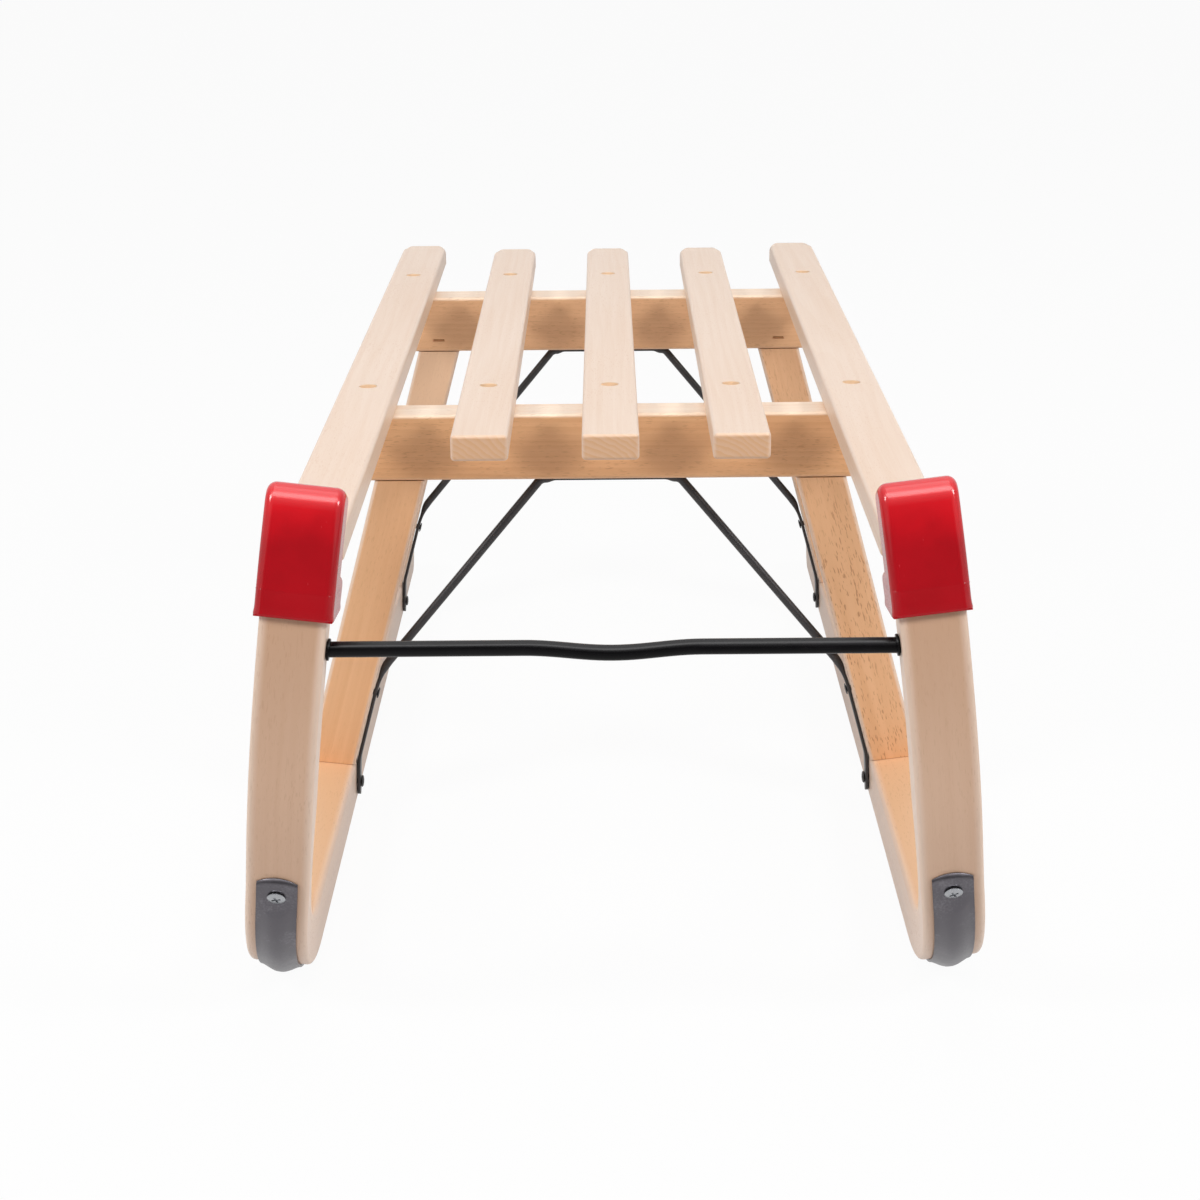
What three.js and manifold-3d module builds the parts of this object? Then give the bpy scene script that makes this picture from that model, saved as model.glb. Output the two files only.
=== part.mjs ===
// A rigid wooden sledge: five seat slats on two crossbars, four splayed legs,
// two bentwood runners with capped horns, steel shoes, rod braces and a pull bar.
// Millimetres, +Z up. The front is at -Y. The origin is on the ground, in the
// middle of the sledge's width and length.

import * as THREE from 'three';
import { mergeVertices } from 'three/addons/utils/BufferGeometryUtils.js';
import Module from 'manifold-3d';

const wasm = await Module();
wasm.setup();

// Fits shared by every piece
const gap = 0.3;
const overrun = 1;

// How finely curves are drawn
const roundSides = 16;
const smallSides = 10;
const screwSides = 8;
const edgeArcs = 3;
const lobeArcs = 5;
const barArcs = 6;
const rodArcs = 5;
const domeSteps = 8;
const bendSteps = 16;
const hornSteps = 10;
const dipSteps = 14;
const braceBendSteps = 4;

// Seat
const seatHeight = 256;
const slatWidth = 30;
const slatThickness = 14;
const slatLength = 570;
const slatPitch = 68.4;
const slatEdgeRound = 2;
const slatRearCorner = 6;
const slatFrontCorner = 2.4;
const railWidth = 31;
const railHalfSpan = 136.4;
const railRearReach = 17.5;
const railTongueWidth = 26;

// Crossbars
const crossbarDepth = 27;
const crossbarHeight = 38;
const crossbarOverhang = 12.6;
const crossbarEdgeRound = 2.2;
const crossbarEndChamfer = 7;
const frontCrossbarInset = 117.3;
const crossbarSpacing = 348.2;

// Legs
const legWidth = 27.5;
const legDepth = 30;
const legRecess = 1;
const legInset = 45.3;
const legFootInset = 0.1;
const legEdgeRound = 2.4;
const tenonWidth = 16;
const tenonDepth = 14;
const topTenonLength = 24;
const footTenonLength = 13;

// Runners: a strip bent up at the front into the horn
const runnerWidth = 30;
const runnerThickness = 27.5;
const hornThickness = 21;
const runnerEdgeRound = 2.4;
const runnerLeanAngle = 6.9;
const runnerSideLeanAngle = 2.5;
const hornOutset = 0.9;
const bendStartReach = 72.1;
const bendRadius = 118;
const bendAngle = 67.4;
const hornStraight = 32.5;
const hornRadius = 227.7;
const hornRise = 25.4;
const hornTipRound = 8;
const runnerTail = 12.5;
const tailRound = 9;

// Runner shoes: domed steel strips
const shoeWidth = 19.4;
const shoeRise = 4.9;
const shoeLip = 1.6;
const shoeFrontRun = 157.5;
const shoeTailGap = 6;

// Horn caps
const capSkin = 2.3;
const capDrop = 30.1;
const capLobeReach = 19;
const capLobeTop = 17;
const capLobeFall = 9;
const capLobeTaper = 3.8;
const capEdgeRound = 2.2;
const capCornerRound = 11;
const capRearRound = 6;

// Pull bar
const barDiameter = 7.2;
const barDrop = 48.1;
const barDip = 2.6;
const barDipHalfWidth = 40;
const collarDiameter = 10.1;
const collarLength = 1.4;
const barSeatDepth = 8;

// Rod braces
const rodDiameter = 5;
const braceFlatHalf = 34;
const braceBendHalf = 39.7;
const braceMeetRise = 57.7;
const strapWidth = 9;
const strapThickness = 2.2;
const braceCentreWidth = 11;
const braceCentreThickness = 2.6;
const strapFootRise = 5;
const braceBendRadius = 11;
const upperBraceScrewRise = 41.7;
const lowerBraceScrewRise = 13;
const braceCentreScrewHalf = 22;

// Screws
const slatScrew = { head: 8.6, headHeight: 2.6, shank: 4, length: 32 };
const counterbore = 9.6;
const counterboreDepth = 5.4;
const braceScrew = { head: 8, headHeight: 1.4, shank: 3.4, length: 16 };
const lowerBraceScrew = { head: 8, headHeight: 1.8, shank: 3.4, length: 9 };
const centreBraceScrew = { head: 6.4, headHeight: 1.3, shank: 3.4, length: 16 };
const shoeScrew = { head: 8, headHeight: 1.2, shank: 3.4, length: 16 };
const frontShoeScrewRun = 143;
const rearShoeScrewInset = 24;
const shoeScrewSink = 0.8;
const hornScrew = { head: 8, headHeight: 2.6, shank: 4, length: 46 };
const hornScrewDrop = 7;
const hornScrewSink = 1.2;

// Staples that hold the legs' tenons in the crossbars
const stapleCrown = 9;
const stapleWire = 1.5;
const stapleLength = 21;
const stapleSink = 0.4;
const stapleDrop = 44;
const stapleInset = 17.4;

// Sizes that follow from the ones above
const degree = Math.PI / 180;
const upTo = (count) => [...Array(count + 1).keys()];
const crossbarLength = 2 * (railHalfSpan + crossbarOverhang);
const legHalfSpan = railHalfSpan - legInset;
const hornHalfSpan = railHalfSpan + hornOutset;
const runnerTilt = runnerLeanAngle * degree;
const sideTilt = runnerSideLeanAngle * degree;
const sideShear = Math.tan(runnerTilt - sideTilt);
const bendTurn = bendAngle * degree;

// The shoe's domed section, as points outward from the wood and across the shoe
const domePoints = upTo(domeSteps).map((step) => {
  const angle = Math.PI * step / domeSteps;
  const rise = shoeLip + (shoeRise - shoeLip) * Math.sin(angle);
  return new THREE.Vector2(rise, shoeWidth / 2 * Math.cos(angle));
});
const shoeReach = Math.max(...domePoints.map(({ x, y }) => (
  x * Math.cos(runnerTilt) + (y + sideShear * x) * Math.sin(runnerTilt))));
const runnerDrop = (seatHeight - shoeReach) / Math.cos(runnerTilt);
const slatBottom = seatHeight - slatThickness;
const crossbarBottom = slatBottom - crossbarHeight;
const bendTurnReach = bendRadius * Math.sin(bendTurn);
const bendRise = bendRadius * (1 - Math.cos(bendTurn)) + hornStraight * Math.sin(bendTurn);
const bulgeDrop = runnerDrop - bendRise - hornRadius * Math.cos(bendTurn);
const capOffset = gap + capSkin;
const hornTurn = Math.acos((-bulgeDrop - hornRise) / hornRadius) - bendTurn;
const capFootTurn = Math.asin(Math.max(bulgeDrop - capDrop, 0) / (hornRadius + capOffset));
const bulgeReach = Math.max(hornRadius, (hornRadius + capOffset) * Math.cos(capFootTurn));
const frontReach = bendStartReach + bendTurnReach + hornStraight * Math.cos(bendTurn)
  + bulgeReach - hornRadius * Math.sin(bendTurn);
const overallLength = frontReach + slatLength + railRearReach;
const slatFrontY = frontReach - overallLength / 2;
const slatRearY = slatFrontY + slatLength;
const railRearY = overallLength / 2;
const crossbarYs = [slatFrontY + frontCrossbarInset, slatFrontY + frontCrossbarInset + crossbarSpacing];
const bendStartY = slatFrontY - bendStartReach;
const runnerRearY = slatRearY + runnerTail - slatEdgeRound;
const flatRun = runnerRearY - bendStartY;
const bendRun = bendRadius * bendTurn;
const hornRun = hornRadius * hornTurn;
const runnerLength = flatRun + bendRun + hornStraight + hornRun;
const crossbarNames = ['front', 'rear'];
const sides = [{ name: 'left', sign: -1 }, { name: 'right', sign: 1 }];

// Materials
const surface = (color, roughness, metalness) =>
  new THREE.MeshStandardMaterial({ color, roughness, metalness });
const paleBeech = () => surface(0xecd6c6, 0.55, 0);
const warmBeech = () => surface(0xd6a57d, 0.55, 0);
const redPlastic = () => surface(0xc8102e, 0.25, 0);
const blackSteel = () => surface(0x2a2e31, 0.4, 0.3);
const greySteel = () => surface(0x5a575d, 0.35, 0.9);
const brightSteel = () => surface(0xa5a8ac, 0.3, 1);

// Solids: a geometry, moved by a matrix, as a closed body that can be cut
const solidOf = (geometry, matrix = new THREE.Matrix4()) => {
  const bare = geometry.clone();
  bare.deleteAttribute('normal');
  bare.deleteAttribute('uv');
  bare.applyMatrix4(matrix);
  const merged = mergeVertices(bare, gap / 1000);
  return new wasm.Manifold(new wasm.Mesh({
    numProp: 3,
    vertProperties: new Float32Array(merged.attributes.position.array),
    triVerts: new Uint32Array(merged.index.array),
  }));
};

const geometryOf = (solid) => {
  const { vertProperties, triVerts } = solid.getMesh();
  const geometry = new THREE.BufferGeometry();
  geometry.setAttribute('position', new THREE.BufferAttribute(new Float32Array(vertProperties), 3));
  geometry.setIndex(new THREE.BufferAttribute(new Uint32Array(triVerts), 1));
  geometry.computeVertexNormals();
  return geometry;
};

const move = (x, y, z) => new THREE.Matrix4().makeTranslation(x, y, z);
const turnX = (angle) => new THREE.Matrix4().makeRotationX(angle);
const turnY = (angle) => new THREE.Matrix4().makeRotationY(angle);
const chain = (...matrices) => matrices.reduce((all, next) => all.clone().multiply(next));

// A mesh for a geometry that is written in the frame that the matrix places
const node = (name, geometry, material, matrix = new THREE.Matrix4()) => {
  const mesh = new THREE.Mesh(geometry, material);
  mesh.name = name;
  matrix.decompose(mesh.position, mesh.quaternion, mesh.scale);
  return mesh;
};

const cutIn = (geometry, matrix, cutters) => {
  const back = matrix.clone().invert();
  const cut = (left, { shape, at }) => left.subtract(solidOf(shape, chain(back, at)));
  return geometryOf(cutters.reduce(cut, solidOf(geometry)));
};

// Outlines
const roundedRectangle = (width, height, radius) => {
  const shape = new THREE.Shape();
  const x = width / 2;
  const y = height / 2;
  shape.moveTo(x, y - radius);
  shape.absarc(x - radius, y - radius, radius, 0, Math.PI / 2);
  shape.absarc(radius - x, y - radius, radius, Math.PI / 2, Math.PI);
  shape.absarc(radius - x, radius - y, radius, Math.PI, 1.5 * Math.PI);
  shape.absarc(x - radius, radius - y, radius, 1.5 * Math.PI, 2 * Math.PI);
  return shape;
};

// A prism whose long edges are rounded by the outline, standing on z = 0
const prism = (shape, depth, curveSegments = edgeArcs) =>
  new THREE.ExtrudeGeometry(shape, { depth, bevelEnabled: false, curveSegments });

// A plate cut from an outline, all its edges rounded, standing on z = 0
const roundedPlate = (shape, thickness, round, curveSegments = edgeArcs) => {
  const plate = new THREE.ExtrudeGeometry(shape, {
    depth: thickness - 2 * round,
    bevelEnabled: true,
    bevelThickness: round,
    bevelSize: round,
    bevelOffset: -round,
    bevelSegments: 2,
    curveSegments,
  });
  return plate.translate(0, 0, round);
};

// A curve that an extrusion follows station by station
class StationCurve extends THREE.Curve {
  constructor(stations) {
    super();
    this.stations = stations;
  }

  getPoint(share, target = new THREE.Vector3()) {
    const place = share * (this.stations.length - 1);
    const first = Math.min(Math.floor(place), this.stations.length - 2);
    return target.lerpVectors(this.stations[first], this.stations[first + 1], place - first);
  }

  getUtoTmapping(share) {
    return share;
  }
}

const sweep = (section, stations, curveSegments = edgeArcs) => new THREE.ExtrudeGeometry(section, {
  steps: stations.length - 1,
  extrudePath: new StationCurve(stations),
  curveSegments,
});

const disc = (diameter) => {
  const shape = new THREE.Shape();
  shape.absarc(0, 0, diameter / 2, 0, 2 * Math.PI);
  return shape;
};

// A round bar or hole along z, from 0 up
const rod = (diameter, length, sideCount = smallSides) =>
  new THREE.CylinderGeometry(diameter / 2, diameter / 2, length, sideCount)
    .rotateX(Math.PI / 2)
    .translate(0, 0, length / 2);

const box = (width, depth, height) => new THREE.BoxGeometry(width, depth, height);

// A screw whose head sits on z = 0 and rises, with its shank going down
const screwGeometry = ({ head, headHeight, shank, length }) => {
  const crown = headHeight / 4;
  const profile = [
    new THREE.Vector2(0, -length),
    new THREE.Vector2(shank / 2, shank - length),
    new THREE.Vector2(shank / 2, 0),
    new THREE.Vector2(head / 2, 0),
    new THREE.Vector2(head / 2, headHeight - 2 * crown),
    new THREE.Vector2(head / 2 - crown, headHeight),
    new THREE.Vector2(0, headHeight),
  ];
  return new THREE.LatheGeometry(profile, screwSides).rotateX(Math.PI / 2);
};

// The hole that a screw's shank needs, from above its seat to below its tip
const shankHole = ({ shank, length }) =>
  rod(shank + 2 * gap, length + gap + overrun).translate(0, 0, -length - gap);

// Frames: runners lean in towards the top, legs lean in more
const runnerFrame = (sign) => chain(move(sign * hornHalfSpan, 0, seatHeight), turnY(-sign * runnerTilt));
const legFrame = (sign, crossbarY) => {
  const legY = crossbarY - crossbarDepth / 2 + legRecess + legDepth / 2;
  return chain(move(sign * legHalfSpan, legY, seatHeight), turnY(-sign * legTilt));
};

// A point of the runner in its own frame: along its outer face from the tail, then in from that face
const runnerStation = (along, inward) => {
  const bend = Math.min(Math.max(along - flatRun, 0), bendRun) / bendRadius;
  const climb = Math.min(Math.max(along - flatRun - bendRun, 0), hornStraight);
  const curl = Math.max(along - flatRun - bendRun - hornStraight, 0) / hornRadius;
  const angle = bend + curl;
  const flat = Math.min(along, flatRun);
  const y = runnerRearY - flat - bendRadius * Math.sin(bend) - climb * Math.cos(bend)
    - hornRadius * (Math.sin(angle) - Math.sin(bend));
  const z = -runnerDrop + bendRadius * (1 - Math.cos(bend)) + climb * Math.sin(bend)
    + hornRadius * (Math.cos(bend) - Math.cos(angle));
  return { y: y + inward * Math.sin(angle), z: z + inward * Math.cos(angle), angle };
};

// The strip is thinner in the horn than on the ground, and tapers round the bend
const thicknessAt = (along) => {
  const share = Math.min(Math.max(along - flatRun, 0) / bendRun, 1);
  return runnerThickness + (hornThickness - runnerThickness) * share;
};
const backStation = (along, behind = 0) => runnerStation(along, thicknessAt(along) + behind);

// On the ground the strip's sides stand more upright than the horn leans
const sideShift = (sign, y, z) => {
  if (z > -runnerDrop / 2) return 0;
  const share = Math.min(Math.max((y - bendStartY) / bendTurnReach + 1, 0), 1);
  return sign * sideShear * (z + runnerDrop) * share;
};
const standUpright = (geometry, sign) => {
  const points = geometry.attributes.position;
  for (let index = 0; index < points.count; index += 1) {
    points.setX(index, points.getX(index) + sideShift(sign, points.getY(index), points.getZ(index)));
  }
  return geometry;
};

// Distances along the runner where its curve is sampled
const runnerStops = (from, to) => {
  const bendStops = upTo(bendSteps).map((step) => flatRun + bendRun * step / bendSteps);
  const hornStart = flatRun + bendRun + hornStraight;
  const hornStops = upTo(hornSteps).map((step) => hornStart + hornRun * step / hornSteps);
  const between = [...bendStops, ...hornStops].filter((stop) => stop > from + gap && stop < to - gap);
  return [from, ...between, to];
};

// The distance along the horn at which its outer face, or its back, is a given drop below the seat
const outerStation = (along) => runnerStation(along, 0);
const alongAtDrop = (drop, face = outerStation) => {
  let low = flatRun;
  let high = 2 * runnerLength;
  while (high - low > gap / 1000) {
    const middle = (low + high) / 2;
    if (face(middle).z < -drop) low = middle;
    else high = middle;
  }
  return low;
};
const backYAtDrop = (drop) => backStation(alongAtDrop(drop, backStation)).y;

// Side outlines are drawn in x = y of the runner frame and y = z, then stood across the sledge
const standAcross = (geometry, width) => {
  const across = new THREE.Matrix4().set(0, 0, 1, -width / 2, 1, 0, 0, 0, 0, 1, 0, 0, 0, 0, 0, 1);
  return geometry.applyMatrix4(across);
};

const runnerOutline = () => {
  const outer = runnerStops(0, runnerLength).map(outerStation);
  const inner = runnerStops(0, runnerLength).map((stop) => backStation(stop)).reverse();
  const shape = new THREE.Shape();
  shape.moveTo(runnerRearY - tailRound, outer[0].z);
  outer.slice(1).forEach(({ y, z }) => shape.lineTo(y, z));
  inner.slice(0, -1).forEach(({ y, z }) => shape.lineTo(y, z));
  shape.lineTo(runnerRearY - tailRound, inner.at(-1).z);
  shape.quadraticCurveTo(runnerRearY, inner.at(-1).z, runnerRearY, inner.at(-1).z - tailRound);
  shape.lineTo(runnerRearY, outer[0].z + tailRound);
  shape.quadraticCurveTo(runnerRearY, outer[0].z, runnerRearY - tailRound, outer[0].z);
  return shape;
};

const runnerPlate = (sign) => {
  const plate = roundedPlate(runnerOutline(), runnerWidth, runnerEdgeRound);
  return standUpright(standAcross(plate, runnerWidth), sign);
};

// Where things are fixed to the runners: outward from the wood along its face's normal
const runnerSpot = (sign, along, inward) => {
  const { y, z, angle } = runnerStation(along, inward);
  return chain(runnerFrame(sign), move(sideShift(sign, y, z), y, z), turnX(Math.PI - angle));
};

const frontShoeScrewAlong = flatRun + frontShoeScrewRun;
const shoeScrewSeat = shoeScrewSink + shoeScrew.headHeight + gap - shoeRise;
const barAlong = alongAtDrop(barDrop);
const barCentre = runnerStation(barAlong, hornThickness / 2);

// The pull bar's line across the horns
const barWorld = new THREE.Vector3(0, barCentre.y, barCentre.z).applyMatrix4(runnerFrame(1));
const barHalfLength = barWorld.x + barSeatDepth;
const barMatrix = move(0, barWorld.y, barWorld.z);

// Places across the seat, and the screws that hold them
const slats = [
  { name: 'slat_left', x: -slatPitch },
  { name: 'slat_center', x: 0 },
  { name: 'slat_right', x: slatPitch },
];
const rails = sides.map(({ name, sign }) => ({ name: `rail_${name}`, sign, x: sign * railHalfSpan }));
const slatScrewAt = (x, crossbarY) => move(x, crossbarY, seatHeight - counterboreDepth);
const hornScrewAt = (sign) => {
  const seatY = outerStation(alongAtDrop(hornScrewDrop)).y + hornScrew.headHeight + hornScrewSink;
  return chain(move(sign * railHalfSpan, seatY, seatHeight - hornScrewDrop), turnX(Math.PI / 2));
};

// Staples go in from the faces that the crossbars turn to each other
const inwardSigns = [1, -1];
const stapleAt = (sign, row) => {
  const inward = inwardSigns[row];
  const faceY = crossbarYs[row] + inward * (crossbarDepth / 2 - stapleSink);
  const place = move(sign * (railHalfSpan - stapleInset), faceY, seatHeight - stapleDrop);
  return chain(place, turnX(-inward * Math.PI / 2));
};

// A point off the runner's inner side, a given rise above the wood's underside
const runnerSidePoint = (sign, rise, off) => {
  const z = rise - runnerDrop;
  const x = sideShift(sign, bendStartY, z) - sign * (runnerWidth / 2 + off);
  return new THREE.Vector3(x, 0, z).applyMatrix4(runnerFrame(sign));
};

// The runner's top inner edge, which the leg's inner face comes down to
const footEdge = runnerSidePoint(1, runnerThickness, 0);
const footEdgeDrop = seatHeight - footEdge.z;
const legTilt = Math.atan((footEdge.x + legFootInset - legHalfSpan) / footEdgeDrop);
const braceMeetDrop = footEdgeDrop - braceMeetRise;

// A point off the leg's inner face, a given drop below the seat
const legPoint = (sign, drop, off) => {
  const spot = new THREE.Vector3(-sign * off, 0, -drop / Math.cos(legTilt));
  return spot.applyMatrix4(chain(move(sign * legHalfSpan, 0, seatHeight), turnY(-sign * legTilt)));
};

// Brace screws sit flush under the crossbar, and on the flattened rod on the leg and the runner's side
const strapSeat = gap + strapThickness + gap;
const centreSeat = gap + braceCentreThickness - centreBraceScrew.headHeight;
const braceCentreScrewAt = (sign, crossbarY) =>
  chain(move(sign * braceCentreScrewHalf, crossbarY, crossbarBottom - centreSeat), turnX(Math.PI));
const braceLegScrewAt = (sign, crossbarY) => {
  const spot = legPoint(sign, footEdgeDrop - upperBraceScrewRise, strapSeat);
  return chain(move(spot.x, crossbarY, spot.z), turnY(-sign * (Math.PI / 2 + legTilt)));
};
const braceFootScrewAt = (sign, crossbarY) => {
  const spot = runnerSidePoint(sign, lowerBraceScrewRise, strapSeat);
  return chain(move(spot.x, crossbarY, spot.z), turnY(-sign * (Math.PI / 2 + sideTilt)));
};

// Tenons in the leg's frame, grown by a clearance when they cut a mortise
const tenon = (sign, grow, bottom, top) =>
  box(tenonWidth + 2 * grow, tenonDepth + 2 * grow, top - bottom)
    .translate(sign * legWidth / 2, 0, (top + bottom) / 2);
const crossbarLevel = (crossbarBottom - seatHeight) / Math.cos(legTilt);
const topTenon = (sign, grow) =>
  tenon(sign, grow, crossbarLevel - legWidth / 2, crossbarLevel + topTenonLength + grow);
const footLevel = (runnerThickness - runnerDrop) * Math.cos(runnerTilt) / Math.cos(legTilt);
const footTenon = (sign, grow) =>
  tenon(sign, grow, footLevel - footTenonLength - grow, footLevel + legWidth);

// A staple's wire, from its crown's top at z = 0 down to its two tips, and the hole it needs
const staple = () => {
  const whole = solidOf(box(stapleCrown, stapleWire, stapleLength), move(0, 0, -stapleLength / 2));
  const between = box(stapleCrown - 2 * stapleWire, stapleCrown, stapleLength);
  return geometryOf(whole.subtract(solidOf(between, move(0, 0, -stapleWire - stapleLength / 2))));
};
const stapleTop = stapleSink + overrun;
const stapleHole = box(stapleCrown + 2 * gap, stapleWire + 2 * gap, stapleTop + stapleLength + gap)
  .translate(0, 0, (stapleTop - stapleLength - gap) / 2);

// Seat slats and outer rails
const slatOutline = (width, frontY, rearY, frontRadius, rearRadius) => {
  const shape = new THREE.Shape();
  const half = width / 2;
  shape.moveTo(half, frontY + frontRadius);
  shape.lineTo(half, rearY - rearRadius);
  shape.absarc(half - rearRadius, rearY - rearRadius, rearRadius, 0, Math.PI / 2);
  shape.absarc(rearRadius - half, rearY - rearRadius, rearRadius, Math.PI / 2, Math.PI);
  shape.lineTo(-half, frontY + frontRadius);
  shape.absarc(frontRadius - half, frontY + frontRadius, frontRadius, Math.PI, 1.5 * Math.PI);
  shape.absarc(half - frontRadius, frontY + frontRadius, frontRadius, 1.5 * Math.PI, 2 * Math.PI);
  return shape;
};

const slatHoles = (x) => crossbarYs.flatMap((crossbarY) => [
  { shape: rod(counterbore, counterboreDepth + overrun, roundSides), at: slatScrewAt(x, crossbarY) },
  { shape: shankHole(slatScrew), at: slatScrewAt(x, crossbarY) },
]);

const makeSlat = ({ name, x }) => {
  const outline = slatOutline(slatWidth, slatFrontY, slatRearY, slatFrontCorner, slatRearCorner);
  const matrix = move(x, 0, slatBottom);
  const plate = roundedPlate(outline, slatThickness, slatEdgeRound);
  return node(`seat_${name}`, cutIn(plate, matrix, slatHoles(x)), paleBeech(), matrix);
};

// The outer rail's full width stops at the cap, and a narrower tongue goes on to the horn
const capSlope = (runnerWidth / 2 + capOffset) * Math.sin(runnerTilt);
const railShoulderY = backYAtDrop(-capSlope) + capOffset + gap;
const railTipY = backYAtDrop(-capSlope) + gap;

const makeRail = ({ name, sign, x }) => {
  const outline = slatOutline(railWidth, railShoulderY, railRearY, slatFrontCorner, slatRearCorner);
  const matrix = move(x, 0, slatBottom);
  const plate = roundedPlate(outline, slatThickness, slatEdgeRound);
  const tongueLength = railShoulderY - railTipY + slatWidth;
  const tongue = box(railTongueWidth, tongueLength, slatThickness - 2 * slatEdgeRound);
  const tongueAt = move(0, railTipY + tongueLength / 2, slatThickness / 2);
  const joined = geometryOf(solidOf(plate).add(solidOf(tongue, tongueAt)));
  const holes = [...slatHoles(x), { shape: shankHole(hornScrew), at: hornScrewAt(sign) }];
  return node(`seat_${name}`, cutIn(joined, matrix, holes), paleBeech(), matrix);
};

// Crossbars, with pilot holes and mortises
const crossbarOutline = () => {
  const shape = new THREE.Shape();
  const half = crossbarLength / 2;
  shape.moveTo(half, crossbarHeight);
  shape.lineTo(-half, crossbarHeight);
  shape.lineTo(-half, crossbarEndChamfer);
  shape.lineTo(crossbarEndChamfer - half, 0);
  shape.lineTo(half - crossbarEndChamfer, 0);
  shape.lineTo(half, crossbarEndChamfer);
  return shape;
};

const makeCrossbar = (row) => {
  const crossbarY = crossbarYs[row];
  const plate = roundedPlate(crossbarOutline(), crossbarDepth, crossbarEdgeRound)
    .rotateX(Math.PI / 2)
    .translate(0, crossbarDepth / 2, 0);
  const matrix = move(0, crossbarY, crossbarBottom);
  const pilots = [...slats, ...rails].map(({ x }) => (
    { shape: shankHole(slatScrew), at: slatScrewAt(x, crossbarY) }));
  const joints = sides.flatMap(({ sign }) => [
    { shape: topTenon(sign, gap), at: legFrame(sign, crossbarY) },
    { shape: stapleHole, at: stapleAt(sign, row) },
    { shape: shankHole(centreBraceScrew), at: braceCentreScrewAt(sign, crossbarY) },
  ]);
  const geometry = cutIn(plate, matrix, [...pilots, ...joints]);
  return node(`crossbar_${crossbarNames[row]}`, geometry, warmBeech(), matrix);
};

// Legs: a leaning post with a tenon at each end
const makeLeg = (row, { name, sign }) => {
  const crossbarY = crossbarYs[row];
  const matrix = legFrame(sign, crossbarY);
  const reach = 2 * seatHeight;
  const post = prism(roundedRectangle(legWidth, legDepth, legEdgeRound), reach)
    .translate(sign * legWidth / 2, 0, legWidth - reach);
  const block = box(reach, reach, reach);
  const aboveAt = move(sign * legHalfSpan, crossbarY, crossbarBottom - gap + reach / 2);
  const runnerTop = runnerThickness + gap - runnerDrop;
  const belowAt = chain(runnerFrame(sign), move(0, crossbarY, runnerTop - reach / 2));
  const trimmed = cutIn(post, matrix, [{ shape: block, at: aboveAt }, { shape: block, at: belowAt }]);
  const body = solidOf(trimmed).add(solidOf(topTenon(sign, 0))).add(solidOf(footTenon(sign, 0)));
  const holes = [
    { shape: stapleHole, at: stapleAt(sign, row) },
    { shape: shankHole(braceScrew), at: braceLegScrewAt(sign, crossbarY) },
  ];
  const geometry = cutIn(geometryOf(body), matrix, holes);
  return node(`leg_${crossbarNames[row]}_${name}`, geometry, warmBeech(), matrix);
};

// The corner that is taken off the horn's tip, so that the cap can be round there
const hornTipCorner = () => {
  const start = outerStation(runnerLength - hornTipRound);
  const tip = outerStation(runnerLength);
  const end = runnerStation(runnerLength, hornTipRound);
  const around = [
    runnerStation(runnerLength + hornTipRound, hornTipRound),
    runnerStation(runnerLength + hornTipRound, -hornTipRound),
    runnerStation(runnerLength - hornTipRound, -hornTipRound),
  ];
  const shape = new THREE.Shape();
  shape.moveTo(start.y, start.z);
  shape.quadraticCurveTo(tip.y, tip.z, end.y, end.z);
  around.forEach(({ y, z }) => shape.lineTo(y, z));
  const width = runnerWidth + 2 * gap;
  return standAcross(prism(shape, width), width);
};

// Runners, with mortises for the legs, blind holes for the bar and holes for the screws
const makeRunner = ({ name, sign }) => {
  const matrix = runnerFrame(sign);
  const barHole = rod(barDiameter + 2 * gap, runnerWidth + barSeatDepth + gap, roundSides)
    .translate(0, 0, -runnerWidth)
    .rotateY(sign * Math.PI / 2);
  const hornHead = rod(hornScrew.head + 2 * gap, hornThickness);
  const legJoints = crossbarYs.flatMap((crossbarY) => [
    { shape: footTenon(sign, gap), at: legFrame(sign, crossbarY) },
    { shape: shankHole(lowerBraceScrew), at: braceFootScrewAt(sign, crossbarY) },
  ]);
  const cutters = [
    ...legJoints,
    { shape: hornTipCorner(), at: matrix },
    { shape: barHole, at: move(sign * barWorld.x, barWorld.y, barWorld.z) },
    { shape: shankHole(shoeScrew), at: runnerSpot(sign, frontShoeScrewAlong, shoeScrewSeat) },
    { shape: shankHole(shoeScrew), at: runnerSpot(sign, rearShoeScrewInset, shoeScrewSeat) },
    { shape: shankHole(hornScrew), at: hornScrewAt(sign) },
    { shape: hornHead, at: hornScrewAt(sign) },
  ];
  return node(`runner_${name}`, cutIn(runnerPlate(sign), matrix, cutters), warmBeech(), matrix);
};

// Runner shoes: a domed strip that follows the outer face, its section drawn outward by across
const shoeSection = () => {
  const shape = new THREE.Shape();
  shape.moveTo(gap, -shoeWidth / 2);
  shape.lineTo(gap, shoeWidth / 2);
  domePoints.forEach(({ x, y }) => shape.lineTo(x, y));
  return shape;
};

const makeShoe = ({ name, sign }) => {
  const matrix = runnerFrame(sign);
  const stations = runnerStops(shoeTailGap, flatRun + shoeFrontRun)
    .map(outerStation)
    .map(({ y, z }) => new THREE.Vector3(0, y, z));
  const strip = standUpright(sweep(shoeSection(), stations), sign);
  const holes = [frontShoeScrewAlong, rearShoeScrewInset].flatMap((along) => [
    { shape: shankHole(shoeScrew), at: runnerSpot(sign, along, shoeScrewSeat) },
    { shape: rod(shoeScrew.head + 2 * gap, shoeRise), at: runnerSpot(sign, along, shoeScrewSeat) },
  ]);
  return node(`runner_shoe_${name}`, cutIn(strip, matrix, holes), greySteel(), matrix);
};

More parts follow.
